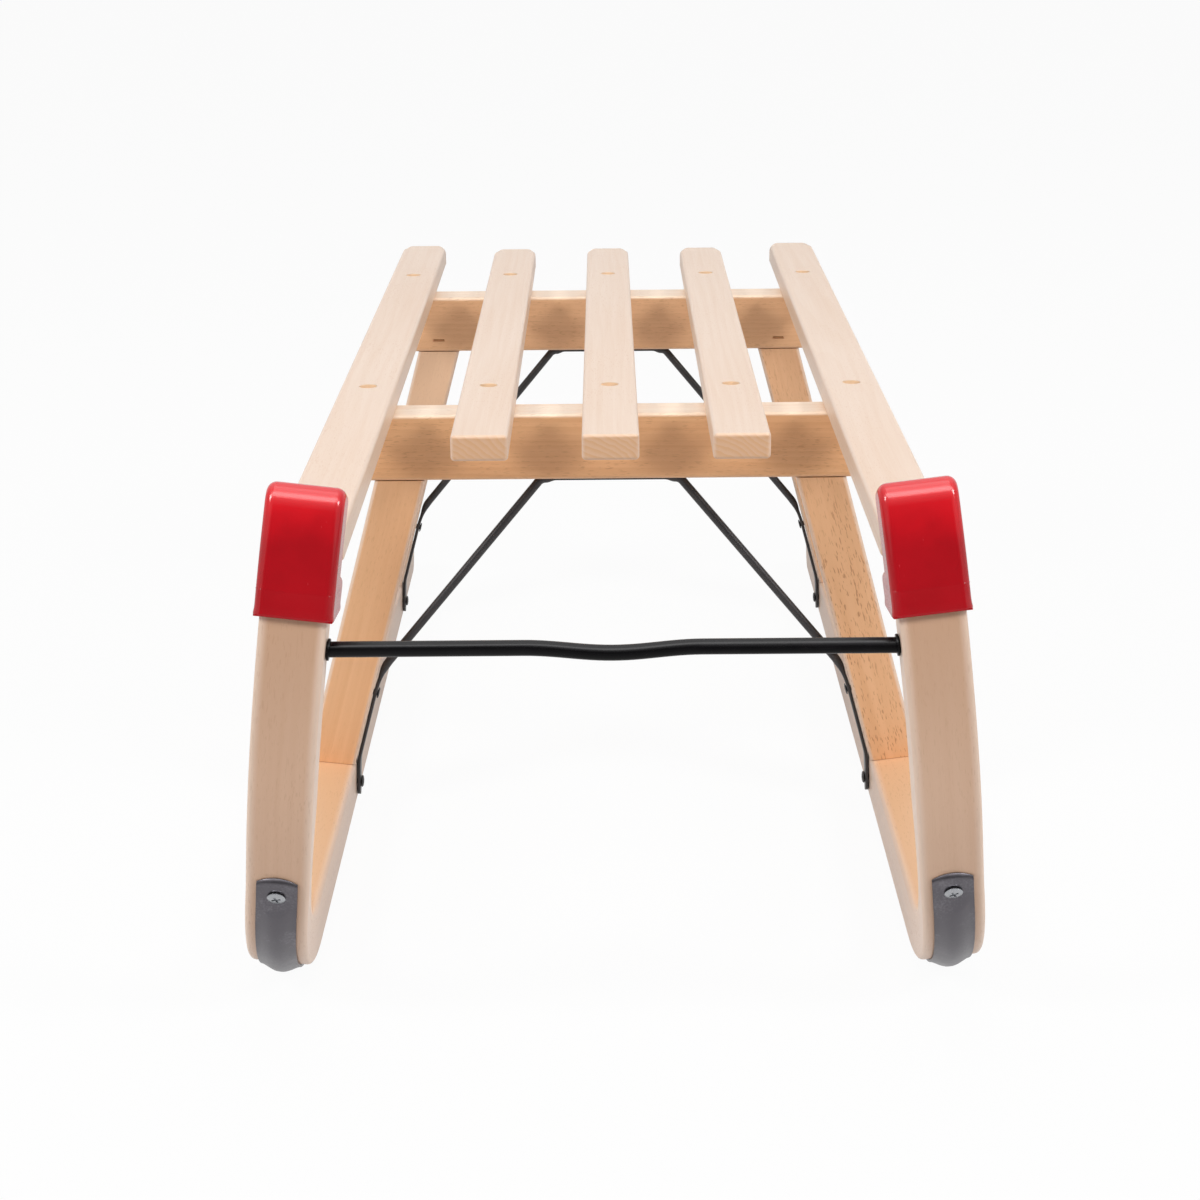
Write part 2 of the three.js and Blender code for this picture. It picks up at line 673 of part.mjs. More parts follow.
// Horn caps: a moulded hood over the horn's tip, with a lobe under the rail
const capOutline = (skin, bottomDrop) => {
  const shape = new THREE.Shape();
  const from = alongAtDrop(bottomDrop);
  const to = runnerLength + skin;
  const frontPoints = runnerStops(from, to - capCornerRound).map((stop) => runnerStation(stop, -skin));
  const cornerTip = runnerStation(to, -skin);
  const cornerEnd = runnerStation(to, capCornerRound - skin);
  const rearStart = backStation(to, skin - capRearRound);
  const rearTip = backStation(to, skin);
  const rearEnd = backStation(to - capRearRound, skin);
  shape.moveTo(frontPoints[0].y, frontPoints[0].z);
  frontPoints.slice(1).forEach(({ y, z }) => shape.lineTo(y, z));
  shape.quadraticCurveTo(cornerTip.y, cornerTip.z, cornerEnd.y, cornerEnd.z);
  shape.lineTo(rearStart.y, rearStart.z);
  shape.quadraticCurveTo(rearTip.y, rearTip.z, rearEnd.y, rearEnd.z);
  return shape;
};

const capHood = () => {
  const shape = capOutline(capOffset, capDrop);
  const neck = backStation(alongAtDrop(capLobeTop - capSkin, backStation), capOffset);
  const lobeShoulder = { y: neck.y + capLobeReach / 2, z: -capLobeTop };
  const lobeTip = { y: neck.y + capLobeReach, z: -capLobeTop - capLobeFall };
  const lobeFoot = { y: lobeTip.y - capLobeTaper, z: -capDrop - capSkin };
  shape.lineTo(neck.y, neck.z);
  shape.lineTo(lobeShoulder.y, lobeShoulder.z);
  shape.quadraticCurveTo(lobeTip.y, lobeShoulder.z, lobeTip.y, lobeTip.z);
  shape.lineTo(lobeFoot.y, lobeFoot.z);
  const width = runnerWidth + 2 * capOffset;
  return standAcross(roundedPlate(shape, width, capEdgeRound, lobeArcs), width);
};

// The room that the horn takes in the cap, open at the bottom
const capPocket = () => {
  const from = alongAtDrop(2 * capDrop);
  const to = runnerLength + gap;
  const outer = runnerStops(from, to - hornTipRound).map((stop) => runnerStation(stop, -gap));
  const inner = runnerStops(from, to).map((stop) => backStation(stop, gap)).reverse();
  const hornTip = runnerStation(to, -gap);
  const tipEnd = runnerStation(to, hornTipRound - gap);
  const shape = new THREE.Shape();
  shape.moveTo(outer[0].y, outer[0].z);
  outer.slice(1).forEach(({ y, z }) => shape.lineTo(y, z));
  shape.quadraticCurveTo(hornTip.y, hornTip.z, tipEnd.y, tipEnd.z);
  inner.forEach(({ y, z }) => shape.lineTo(y, z));
  const width = runnerWidth + 2 * gap;
  return standAcross(prism(shape, width), width);
};

const makeCap = ({ name, sign }) => {
  const matrix = runnerFrame(sign);
  const slotLength = capLobeReach + capOffset + hornThickness;
  const slot = box(railTongueWidth + 2 * gap, slotLength, slatThickness - 2 * slatEdgeRound + 2 * gap);
  const slotY = railTipY - gap - hornThickness / 2 + slotLength / 2;
  const slotAt = move(sign * railHalfSpan, slotY, slatBottom + slatThickness / 2);
  const cutters = [{ shape: capPocket(), at: matrix }, { shape: slot, at: slotAt }];
  return node(`horn_cap_${name}`, cutIn(capHood(), matrix, cutters), redPlastic(), matrix);
};

// The pull bar, with a shallow dip in the middle and a collar at each horn
const makePullBar = () => {
  const dip = upTo(dipSteps).map((step) => {
    const share = 2 * step / dipSteps - 1;
    return new THREE.Vector3(share * barDipHalfWidth, 0, -barDip * (1 + Math.cos(Math.PI * share)) / 2);
  });
  const ends = [-barHalfLength, barHalfLength].map((x) => new THREE.Vector3(x, 0, 0));
  const bar = solidOf(sweep(disc(barDiameter), [ends[0], ...dip, ends[1]], barArcs));
  const slope = runnerWidth / 2 / Math.cos(runnerTilt) + barDiameter * Math.sin(runnerTilt);
  const collarX = barWorld.x - slope - gap - collarLength;
  const collar = rod(collarDiameter, collarLength, roundSides).rotateY(Math.PI / 2);
  const withCollars = bar
    .add(solidOf(collar, move(collarX, 0, 0)))
    .add(solidOf(collar, move(-collarX - collarLength, 0, 0)));
  return node('pull_bar', geometryOf(withCollars), blackSteel(), barMatrix);
};

// Braces: a rod from leg to leg, flattened where it is screwed down
const braceStations = (sign) => {
  const off = gap + rodDiameter / 2;
  const rodLevel = crossbarBottom - off;
  const start = new THREE.Vector3(sign * braceFlatHalf, 0, rodLevel);
  const bend = new THREE.Vector3(sign * braceBendHalf, 0, rodLevel);
  const meet = legPoint(sign, braceMeetDrop, off);
  const end = legPoint(sign, braceMeetDrop + braceBendRadius, off);
  const turn = (before, corner, after, reach) => {
    const enter = corner.clone().add(before.clone().sub(corner).setLength(reach));
    const leave = corner.clone().add(after.clone().sub(corner).setLength(reach));
    return new THREE.QuadraticBezierCurve3(enter, corner, leave).getPoints(braceBendSteps);
  };
  const upperBend = turn(start, bend, meet, (braceBendHalf - braceFlatHalf) / 2);
  const lowerBend = turn(bend, meet, end, braceBendRadius / 2);
  return [start, ...upperBend, ...lowerBend, end];
};

// The flattened end runs down the leg, then down the runner's inner side
const strapStations = (sign) => {
  const off = gap + strapThickness / 2;
  return [
    legPoint(sign, braceMeetDrop, off),
    legPoint(sign, runnerDrop - runnerThickness - strapThickness, off),
    runnerSidePoint(sign, runnerThickness - strapThickness, off),
    runnerSidePoint(sign, strapFootRise, off),
  ];
};

const makeBrace = (row) => {
  const matrix = move(0, crossbarYs[row], 0);
  const centreOutline = roundedRectangle(2 * braceBendHalf, braceCentreWidth, braceCentreWidth / 2 - gap);
  const centreAt = move(0, 0, crossbarBottom - gap - braceCentreThickness);
  const centre = solidOf(prism(centreOutline, braceCentreThickness), centreAt);
  const strapSection = roundedRectangle(strapWidth, strapThickness, strapThickness / 3);
  const arms = sides.flatMap(({ sign }) => [
    solidOf(sweep(disc(rodDiameter), braceStations(sign), rodArcs)),
    solidOf(sweep(strapSection, strapStations(sign), 1)),
  ]);
  const joined = arms.reduce((all, arm) => all.add(arm), centre);
  const { head, headHeight } = centreBraceScrew;
  const headRoom = rod(head + 2 * gap, headHeight + overrun + gap).translate(0, 0, -gap);
  const holes = sides.flatMap(({ sign }) => [
    { shape: shankHole(centreBraceScrew), at: braceCentreScrewAt(sign, crossbarYs[row]) },
    { shape: headRoom, at: braceCentreScrewAt(sign, crossbarYs[row]) },
    { shape: shankHole(braceScrew), at: braceLegScrewAt(sign, crossbarYs[row]) },
    { shape: shankHole(lowerBraceScrew), at: braceFootScrewAt(sign, crossbarYs[row]) },
  ]);
  const drilled = cutIn(geometryOf(joined), matrix, holes);
  return node(`brace_${crossbarNames[row]}`, drilled, blackSteel(), matrix);
};

// Every screw and staple, each at its own place
const screwNode = (name, screw, material, at) => node(name, screwGeometry(screw), material, at);
const onSeat = (at) => chain(at, move(0, 0, gap));

const makeSeatScrews = (row) => [...slats, ...rails].map(({ name, x }) => {
  const at = onSeat(slatScrewAt(x, crossbarYs[row]));
  return screwNode(`${name}_screw_${crossbarNames[row]}`, slatScrew, brightSteel(), at);
});

const makeLegFixings = (row, { name, sign }) => {
  const place = `${crossbarNames[row]}_${name}`;
  const centreAt = braceCentreScrewAt(sign, crossbarYs[row]);
  const legAt = braceLegScrewAt(sign, crossbarYs[row]);
  const footAt = braceFootScrewAt(sign, crossbarYs[row]);
  return [
    node(`leg_staple_${place}`, staple(), blackSteel(), stapleAt(sign, row)),
    screwNode(`brace_screw_center_${place}`, centreBraceScrew, blackSteel(), centreAt),
    screwNode(`brace_screw_leg_${place}`, braceScrew, blackSteel(), legAt),
    screwNode(`brace_screw_foot_${place}`, lowerBraceScrew, blackSteel(), footAt),
  ];
};

const makeRunnerScrews = ({ name, sign }) => {
  const frontAt = onSeat(runnerSpot(sign, frontShoeScrewAlong, shoeScrewSeat));
  const rearAt = onSeat(runnerSpot(sign, rearShoeScrewInset, shoeScrewSeat));
  return [
    screwNode(`shoe_screw_front_${name}`, shoeScrew, brightSteel(), frontAt),
    screwNode(`shoe_screw_rear_${name}`, shoeScrew, brightSteel(), rearAt),
    screwNode(`horn_screw_${name}`, hornScrew, brightSteel(), onSeat(hornScrewAt(sign))),
  ];
};

const rows = [0, 1];
const sledge = new THREE.Group();
sledge.name = 'wooden_sledge';
sledge.add(
  ...slats.map(makeSlat),
  ...rails.map(makeRail),
  ...rows.map(makeCrossbar),
  ...rows.flatMap((row) => sides.map((side) => makeLeg(row, side))),
  ...sides.map(makeRunner),
  ...sides.map(makeShoe),
  ...sides.map(makeCap),
  makePullBar(),
  ...rows.map(makeBrace),
  ...rows.flatMap(makeSeatScrews),
  ...rows.flatMap((row) => sides.flatMap((side) => makeLegFixings(row, side))),
  ...sides.flatMap(makeRunnerScrews),
);

export default sledge;
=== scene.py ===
import math
import bmesh
import bpy
from mathutils import Matrix, Vector


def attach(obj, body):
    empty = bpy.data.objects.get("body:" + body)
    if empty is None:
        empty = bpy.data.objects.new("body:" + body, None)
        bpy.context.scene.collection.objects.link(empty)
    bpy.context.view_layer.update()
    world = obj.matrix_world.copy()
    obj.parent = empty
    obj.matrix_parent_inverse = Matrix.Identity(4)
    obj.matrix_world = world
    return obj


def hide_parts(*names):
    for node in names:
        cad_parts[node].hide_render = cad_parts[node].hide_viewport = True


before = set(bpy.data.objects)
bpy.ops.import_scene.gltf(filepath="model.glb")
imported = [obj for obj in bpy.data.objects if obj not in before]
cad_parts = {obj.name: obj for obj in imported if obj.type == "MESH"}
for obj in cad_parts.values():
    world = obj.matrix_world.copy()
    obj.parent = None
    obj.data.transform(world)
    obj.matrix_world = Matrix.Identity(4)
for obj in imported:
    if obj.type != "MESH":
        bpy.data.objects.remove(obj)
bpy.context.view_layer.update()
mm = 0.001
gap = 0.3                    # clearance between neighbours, millimetres like every size below
sides = {"left": -1, "right": 1}
rows = {"front": 0, "rear": 1}
print("frame loaded,", len(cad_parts), "nodes")


def moved(x, y, z):
    return Matrix.Translation((x, y, z))


def turned(angle, axis):
    return Matrix.Rotation(angle, 4, axis)


def placed(name, data):
    holder = bpy.data.objects.new(name, data)
    bpy.context.scene.collection.objects.link(holder)
    return holder


def asMesh(name, bm):
    mesh = bpy.data.meshes.new(name)
    bm.to_mesh(mesh)
    bm.free()
    return mesh


# Camera at the photo's angle

view = {
    "lens": 72.6, "sensor": 36, "clipEnd": 50, "place": (-2.2, -1408.2, 560.9),
    "downAngle": 17.941, "yawAngle": 0.19, "rollAngle": 0.544,
}


def makeCamera():
    data = bpy.data.cameras.new("photoCamera")
    data.lens = view["lens"]
    data.sensor_width = view["sensor"]
    data.clip_end = view["clipEnd"]
    holder = placed("photoCamera", data)
    place = moved(*(Vector(view["place"]) * mm))
    yaw = turned(math.radians(view["yawAngle"]), "Z")
    down = turned(math.radians(90 - view["downAngle"]), "X")
    roll = turned(math.radians(-view["rollAngle"]), "Z")
    holder.matrix_world = place @ yaw @ down @ roll
    bpy.context.scene.camera = holder


makeCamera()
bpy.context.scene.view_settings.view_transform = "Standard"
print("camera placed")


# Shader maths: a wire is a socket that can be added, multiplied and fed on

def arithmetic(operation, swapped=False):
    def apply(self, other):
        first, second = (other, self) if swapped else (self, other)
        return self.math(operation, first, second)
    return apply


class Wire:
    def __init__(self, tree, socket=None):
        self.tree = tree
        self.socket = socket

    def node(self, kind, settings=None, values=None, output=0):
        made = self.tree.nodes.new(kind)
        for key, value in (settings or {}).items():
            setattr(made, key, value)
        for key, value in (values or {}).items():
            if isinstance(value, Wire):
                self.tree.links.new(value.socket, made.inputs[key])
            else:
                made.inputs[key].default_value = value
        return Wire(self.tree, made.outputs[output] if made.outputs else None)

    def math(self, operation, first, second=0.0):
        return self.node("ShaderNodeMath", {"operation": operation}, {0: first, 1: second})

    __add__ = arithmetic("ADD")
    __radd__ = arithmetic("ADD", True)
    __sub__ = arithmetic("SUBTRACT")
    __rsub__ = arithmetic("SUBTRACT", True)
    __mul__ = arithmetic("MULTIPLY")
    __rmul__ = arithmetic("MULTIPLY", True)
    __truediv__ = arithmetic("DIVIDE")
    __pow__ = arithmetic("POWER")
    lower = arithmetic("MINIMUM")
    higher = arithmetic("MAXIMUM")

    def rise(self, start, end):
        settings = {"interpolation_type": "SMOOTHSTEP"}
        return self.node("ShaderNodeMapRange", settings, {0: self, 1: start, 2: end})

    def vector(self, operation, first, second):
        return self.node("ShaderNodeVectorMath", {"operation": operation}, {0: first, 1: second})

    def noise(self, place, scale, detail, roughness=0.5):
        values = {"Vector": place, "Scale": scale, "Detail": detail, "Roughness": roughness}
        return self.node("ShaderNodeTexNoise", values=values)

    def bump(self, height, strength, distance):
        values = {"Height": height, "Strength": strength, "Distance": distance}
        return self.node("ShaderNodeBump", values=values)

    def attribute(self, name, output="Vector"):
        return self.node("ShaderNodeAttribute", {"attribute_name": name}, output=output)

    def blend(self, share, first, second):
        return self.node("ShaderNodeMix", {"data_type": "RGBA"}, {0: share, 6: first, 7: second}, output=2)

    def ray(self, kind):
        return self.node("ShaderNodeLightPath", output=kind)

    def parts(self):
        return [self.node("ShaderNodeSeparateXYZ", values={0: self}, output=axis) for axis in "XYZ"]


def tone(red, green, blue):
    def linear(value):
        share = value / 255
        return share / 12.92 if share <= 0.04045 else ((share + 0.055) / 1.055) ** 2.4
    return (linear(red), linear(green), linear(blue), 1.0)


def startMaterial(name):
    material = bpy.data.materials.new(name)
    material.use_nodes = True
    material.node_tree.nodes.clear()
    return material, Wire(material.node_tree)


def endMaterial(wire, settings):
    shader = wire.node("ShaderNodeBsdfPrincipled", values=settings)
    wire.node("ShaderNodeOutputMaterial", values={"Surface": shader})


# Sizes in metres, and each noise's scales across and along the board
grain = {
    "seedShift": (0.31, 1.7, 0.53), "pithAside": 0.034, "pithBelow": 0.052, "pithDrift": 0.02,
    "pithShift": 0.004, "ringPitch": 0.0031, "drift": (22, 2.5), "waver": (160, 6), "fibre": (1900, 22),
    "streak": (320, 6), "broad": (26, 5), "patch": (40, 12), "fleck": (1500, 210),
    "rimReach": (0.0004, 0.0022), "endReach": (0.0006, 0.0016), "paleFrom": 0.0006, "topFrom": (0, 0.003),
    "boreAway": (0.003, 0.005), "boreDepth": (0.0001, 0.0005), "tipShadeReach": (0.055, 0.17),
    "insideReach": (-0.002, 0.009), "bumpDistance": 0.00008,
}


def beech(name, look):
    material, wire = startMaterial(name)
    place = wire.attribute("grain")
    half = wire.attribute("half")
    seed = wire.attribute("seed", "Fac")
    paler, flecky = wire.attribute("tint").parts()[:2]
    spread = wire.node(
        "ShaderNodeVectorMath", {"operation": "SCALE"}, {0: grain["seedShift"], "Scale": seed})
    board = wire.vector("ADD", place, spread)

    def grainNoise(kind, detail, roughness=0.5):
        across, along = grain[kind]
        return wire.noise(wire.vector("MULTIPLY", board, (across, along, across)), 1.0, detail, roughness)

    # growth rings round a pith beside the board
    drift = grainNoise("drift", 1.0)
    waver = grainNoise("waver", 2.0)
    x, y, z = place.parts()
    farX = x + grain["pithAside"] + grain["pithDrift"] * drift
    farZ = z + grain["pithBelow"] + seed * grain["pithShift"]
    radius = (farX * farX + farZ * farZ) ** 0.5
    ring = wire.math("FRACT", radius / grain["ringPitch"] + drift * 3.0 + waver * 0.9 + seed)
    lateWood = ring.rise(0.15, 0.95)

    # fibres, broad tone and beech's short dark flecks
    fibre = grainNoise("fibre", 3.0, 0.6)
    streak = grainNoise("streak", 2.0)
    broad = grainNoise("broad", 1.0)
    patch = grainNoise("patch", 0.0).rise(0.3, 0.7)
    fleck = grainNoise("fleck", 1.0).rise(0.6, 0.68) * (patch * 0.7 + 0.3)

    # distance to the nearest edge of the piece, and to its ends
    away = wire.vector("SUBTRACT", half, wire.vector("ABSOLUTE", place, (0, 0, 0)))
    awayX, awayY, awayZ = away.parts()
    edgeDistance = awayX.lower(awayZ).higher(awayX.higher(awayZ).lower(awayY))
    rim = 1 - edgeDistance.rise(*grain["rimReach"])
    end = 1 - awayY.rise(*grain["endReach"])
    # screw-hole walls take their own tone: end grain, made paler as painted light against the shade inside
    # the holes
    boreGrainAndLight = awayX.lower(awayY).rise(*grain["boreAway"]) * awayZ.rise(*grain["boreDepth"])

    depth = lateWood * look["ringShare"] + (streak - 0.5) * 0.7 + (broad - 0.5) * 0.8
    depth += (fibre - 0.5) * 0.35
    share = (depth * look["grainShare"] + 0.25).higher(0).lower(1)
    colour = wire.blend(share, look["light"], look["deep"])
    # paler pieces are blended towards the rim tone; on the legs this is painted light
    colour = wire.blend(paler * 0.5, colour, look["rim"])
    if "tip" in look:
        # painted shade: the runner darkens towards the horn's tip, below the cap
        tipShade = 1 - awayY.rise(*grain["tipShadeReach"])
        colour = wire.blend(tipShade * look["tipShadeShare"], colour, look["tip"])
        colour = wire.blend(z.rise(*grain["insideReach"]), colour, look["inside"])
    # painted sheen: faces near the sides of legs and runners, and near the crossbars' top, are made paler,
    # standing in for the reflection and light they catch
    if "pale" in look:
        nearSide = 1 - awayX.rise(grain["paleFrom"], look["paleReach"])
        nearTop = z.rise(*grain["topFrom"]) * (1 - awayZ.rise(grain["paleFrom"], look["paleReach"]))
        pale = nearSide * look["sideSheen"] + nearTop * look["topPale"]
        colour = wire.blend(pale * (1.1 - share * 0.6), colour, look["pale"])
    colour = wire.blend(fleck * flecky * look["fleckShare"], colour, look["fleck"])
    colour = wire.blend(end * (0.75 + 0.25 * lateWood), colour, look["end"])
    colour = wire.blend(rim * (0.2 + 0.25 * broad), colour, look["rim"])
    colour = wire.blend(boreGrainAndLight, colour, look["boreGrainAndLight"])

    height = fibre * 0.6 + streak * 0.3 - fleck * 0.5 - end * ring * 0.6
    endMaterial(wire, {
        "Base Color": colour,
        "Roughness": 0.42 + (fibre - 0.5) * 0.16 + end * 0.2 + fleck * 0.06,
        "Normal": wire.bump(height, 0.35, grain["bumpDistance"]),
        "Specular IOR Level": 0.4,
        "Coat Weight": 0.2,
        "Coat Roughness": 0.25,
    })
    return material


def redPlastic(look):
    material, wire = startMaterial("redPlastic")
    place = wire.node("ShaderNodeTexCoord", output="Object")
    cloud = wire.noise(place, 45, 2.0)
    peel = wire.noise(place, 420, 1.0)
    scuff = wire.noise(wire.vector("MULTIPLY", place, (700, 160, 160)), 1.0, 2.0).rise(0.7, 0.8)
    tinted = wire.blend(cloud.rise(0.2, 0.8), look["deep"], look["bright"])
    # painted light: the cap's upper part, which faces the light, is a brighter red
    height = place.parts()[2] + (cloud - 0.5) * 0.02
    topped = wire.blend(height.rise(*look["topRise"]), tinted, look["top"])
    scuffed = wire.blend(scuff * 0.08, topped, look["scuff"])
    endMaterial(wire, {
        "Base Color": scuffed,
        "Roughness": 0.15 + cloud * 0.06 + scuff * 0.15,
        "Normal": wire.bump(peel, 0.06, 0.0001),
        "Specular IOR Level": 0.42,
    })
    return material


plainSteel = {"gloss": 0.5, "rubShare": 0.5, "metallic": 0.0, "drawn": (60, 500, 500)}


def steel(name, ownLook):
    look = {**plainSteel, **ownLook}
    material, wire = startMaterial(name)
    place = wire.node("ShaderNodeTexCoord", output="Object")
    cloud = wire.noise(place, 60, 3.0)
    drawn = wire.noise(wire.vector("MULTIPLY", place, look["drawn"]), 1.0, 3.0)
    speck = wire.noise(place, 1400, 2.0).rise(0.62, 0.8)
    rub = (cloud * 0.6 + drawn * 0.4).rise(0.5, 0.72)
    tinted = wire.blend(rub * look["rubShare"], look["body"], look["rubbed"])
    specked = wire.blend(speck * 0.25, tinted, look["speck"])
    # painted shade: where the shade attribute is set, the steel takes the dark speck colour
    shaded = wire.blend(wire.attribute("shade", "Fac"), specked, look["speck"])
    endMaterial(wire, {
        "Base Color": shaded,
        "Metallic": look["metallic"],
        "Roughness": look["roughness"] + (drawn - 0.5) * 0.2 + speck * 0.1 - rub * 0.05,
        "Normal": wire.bump(drawn + speck, 0.2, 0.00006),
        "Specular IOR Level": look["gloss"],
    })
    return material


materials = {
    "pale_beech": beech("paleBeech", {
        "light": tone(225, 203, 185), "deep": tone(213, 181, 155), "fleck": tone(190, 140, 102),
        "end": tone(208, 164, 125), "rim": tone(240, 219, 203), "boreGrainAndLight": tone(234, 198, 160),
        "ringShare": 0.16, "fleckShare": 0.18, "grainShare": 0.8}),
    "warm_beech": beech("warmBeech", {
        "light": tone(234, 182, 133), "deep": tone(212, 152, 102), "fleck": tone(156, 98, 56),
        "end": tone(192, 138, 92), "rim": tone(238, 206, 176), "boreGrainAndLight": tone(150, 104, 66),
        "ringShare": 0.2, "fleckShare": 0.3, "grainShare": 1.0,
        "pale": tone(244, 224, 202), "sideSheen": 0.0, "topPale": 0.95, "paleReach": 0.0026}),
    "leg_beech": beech("legBeech", {
        "light": tone(230, 180, 135), "deep": tone(211, 154, 106), "fleck": tone(162, 104, 64),
        "end": tone(196, 142, 96), "rim": tone(238, 208, 180), "boreGrainAndLight": tone(196, 142, 96),
        "ringShare": 0.14, "fleckShare": 0.55, "grainShare": 0.8,
        "pale": tone(234, 208, 188), "sideSheen": 0.85, "topPale": 0.0, "paleReach": 0.0026}),
    "runner_beech": beech("runnerBeech", {
        "light": tone(222, 186, 159), "deep": tone(206, 164, 133), "fleck": tone(166, 122, 90),
        "end": tone(196, 150, 112), "rim": tone(230, 204, 183), "boreGrainAndLight": tone(196, 150, 112),
        "ringShare": 0.08, "fleckShare": 0.2, "grainShare": 0.7,
        "pale": tone(232, 208, 190), "sideSheen": 0.8, "topPale": 0.0, "paleReach": 0.005,
        "tip": tone(190, 151, 122), "tipShadeShare": 0.8, "inside": tone(226, 182, 142)}),
    "red_plastic": redPlastic({
        "deep": tone(164, 1, 16), "bright": tone(175, 2, 19), "top": tone(208, 4, 22),
        "scuff": tone(220, 80, 90), "topRise": (0.254, 0.279)}),
    "black_steel": steel("blackSteel", {
        "body": tone(48, 46, 48), "rubbed": tone(68, 66, 68), "speck": tone(28, 27, 29),
        "roughness": 0.34}),
    "bar_steel": steel("barSteel", {
        "body": tone(10, 9, 11), "rubbed": tone(26, 23, 26), "speck": tone(8, 8, 9),
        "gloss": 0.14, "roughness": 0.24}),
    "staple_steel": steel("stapleSteel", {
        "body": tone(176, 126, 84), "rubbed": tone(196, 148, 106), "speck": tone(130, 92, 62),
        "gloss": 0.4, "rubShare": 0.6, "metallic": 0.1, "roughness": 0.45, "drawn": (300, 300, 300)}),
    "shoe_steel": steel("shoeSteel", {
        "body": tone(102, 99, 104), "rubbed": tone(136, 133, 139), "speck": tone(70, 67, 71),
        "rubShare": 0.6, "metallic": 0.85, "roughness": 0.33, "drawn": (900, 40, 900)}),
    "screw_steel": steel("screwSteel", {
        "body": tone(172, 174, 178), "rubbed": tone(204, 206, 208), "speck": tone(130, 132, 136),
        "metallic": 0.9, "roughness": 0.28, "drawn": (400, 400, 400)}),
}
print("materials made:", ", ".join(materials))


# Building tools: most pieces are built straight, round their own middle, with their length along y

def block(width, length, height, centre=(0, 0, 0)):
    bm = bmesh.new()
    place = moved(*centre) @ Matrix.Diagonal((width, length, height, 1))
    bmesh.ops.create_cube(bm, size=1, matrix=place)
    return bm


def tube(diameter, length, segments=24, tip=None):
    bm = bmesh.new()
    bmesh.ops.create_cone(
        bm, cap_ends=True, segments=segments, radius1=diameter / 2, radius2=(tip or diameter) / 2,
        depth=length)
    return bm


def rounded(bm, edges, radius, segments):
    bmesh.ops.bevel(
        bm, geom=edges, offset=radius, offset_type="OFFSET", affect="EDGES",
        segments=segments, profile=0.5, material=-1, clamp_overlap=True)


def creases(bm, least=40):
    limit = math.radians(least)
    return [edge for edge in bm.edges if len(edge.link_faces) == 2 and edge.calc_face_angle() > limit]


def middle(edge):
    return (edge.verts[0].co + edge.verts[1].co) / 2


# The edges that run along an axis, and whose middles pass the test
def edgesAlong(edges, axis, passes=lambda spot: True):
    found = []
    for edge in edges:
        line = (edge.verts[1].co - edge.verts[0].co).normalized()
        if abs(line[axis]) > 0.99 and passes(middle(edge)):
            found.append(edge)
    return found


def cutAt(bm, point, normal, clear=False):
    return bmesh.ops.bisect_plane(
        bm, geom=[*bm.verts, *bm.edges, *bm.faces], plane_co=point, plane_no=normal, dist=1e-5,
        clear_outer=clear)


def sliced(bm, axis, places):
    normal = Vector((0, 0, 0))
    normal[axis] = 1
    for place in places:
        cutAt(bm, normal * place, normal)


def trimmed(bm, point, normal):
    cut = cutAt(bm, point, normal, clear=True)
    edges = [item for item in cut["geom_cut"] if isinstance(item, bmesh.types.BMEdge)]
    bmesh.ops.contextual_create(bm, geom=edges)


def joined(bms):
    whole = bmesh.new()
    for bm in bms:
        mesh = asMesh("loose", bm)
        whole.from_mesh(mesh)
        bpy.data.meshes.remove(mesh)
    return whole


def carved(bm, cutters):
    target = placed("loose", asMesh("loose", bm))
    tool = placed("loose", asMesh("loose", joined(cutters)))
    modifier = target.modifiers.new("carve", "BOOLEAN")
    modifier.operation = "DIFFERENCE"
    modifier.solver = "EXACT"
    modifier.use_self = True
    modifier.object = tool
    bpy.context.view_layer.update()
    ready = target.evaluated_get(bpy.context.evaluated_depsgraph_get())
    result = bmesh.new()
    result.from_mesh(ready.to_mesh())
    ready.to_mesh_clear()
    for holder in (target, tool):
        mesh = holder.data
        bpy.data.objects.remove(holder)
        bpy.data.meshes.remove(mesh)
    return result


# Notes where each point sits in its straight board, for the grain, rings and worn rims
def grained(bm, seed, half, centre=(0, 0, 0), paler=0, flecky=1):
    fromCentre = bm.verts.layers.float_vector.new("grain")
    reach = bm.verts.layers.float_vector.new("half")
    chance = bm.verts.layers.float.new("seed")
    tint = bm.verts.layers.float_vector.new("tint")
    for vert in bm.verts:
        vert[fromCentre] = (vert.co - Vector(centre)) * mm
        vert[reach] = Vector(half) * mm
        vert[chance] = seed
        vert[tint] = Vector((paler, flecky, 0))


def bent(bm, place):
    for vert in bm.verts:
        vert.co = place(vert.co)


# A smooth step from 0 to 1
def eased(share):
    return share * share * (3 - 2 * share)


def clamped(value):
    return min(max(value, 0), 1)


def finish(name, bm, slot, nodes, matrix=None, sharpAngle=40, look=None):
    bm.transform(Matrix.Scale(mm, 4) @ (matrix or Matrix.Identity(4)))
    bmesh.ops.remove_doubles(bm, verts=bm.verts, dist=1e-6)
    bmesh.ops.recalc_face_normals(bm, faces=bm.faces)
    for face in bm.faces:
        face.smooth = True
    for edge in creases(bm, sharpAngle):
        edge.smooth = False
    mesh = asMesh(name, bm)
    mesh.materials.append(materials[look or slot])
    piece = placed(name, mesh)
    normals = piece.modifiers.new("evenNormals", "WEIGHTED_NORMAL")
    normals.keep_sharp = True
    normals.weight = 60
    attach(piece, "root")
    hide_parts(*nodes)


# The runner's line: flat on the ground, round a bend, up a slope, then curling into the horn.
# The seat, the shoe and the cap set its heights and lengths, so their sizes stand here too.

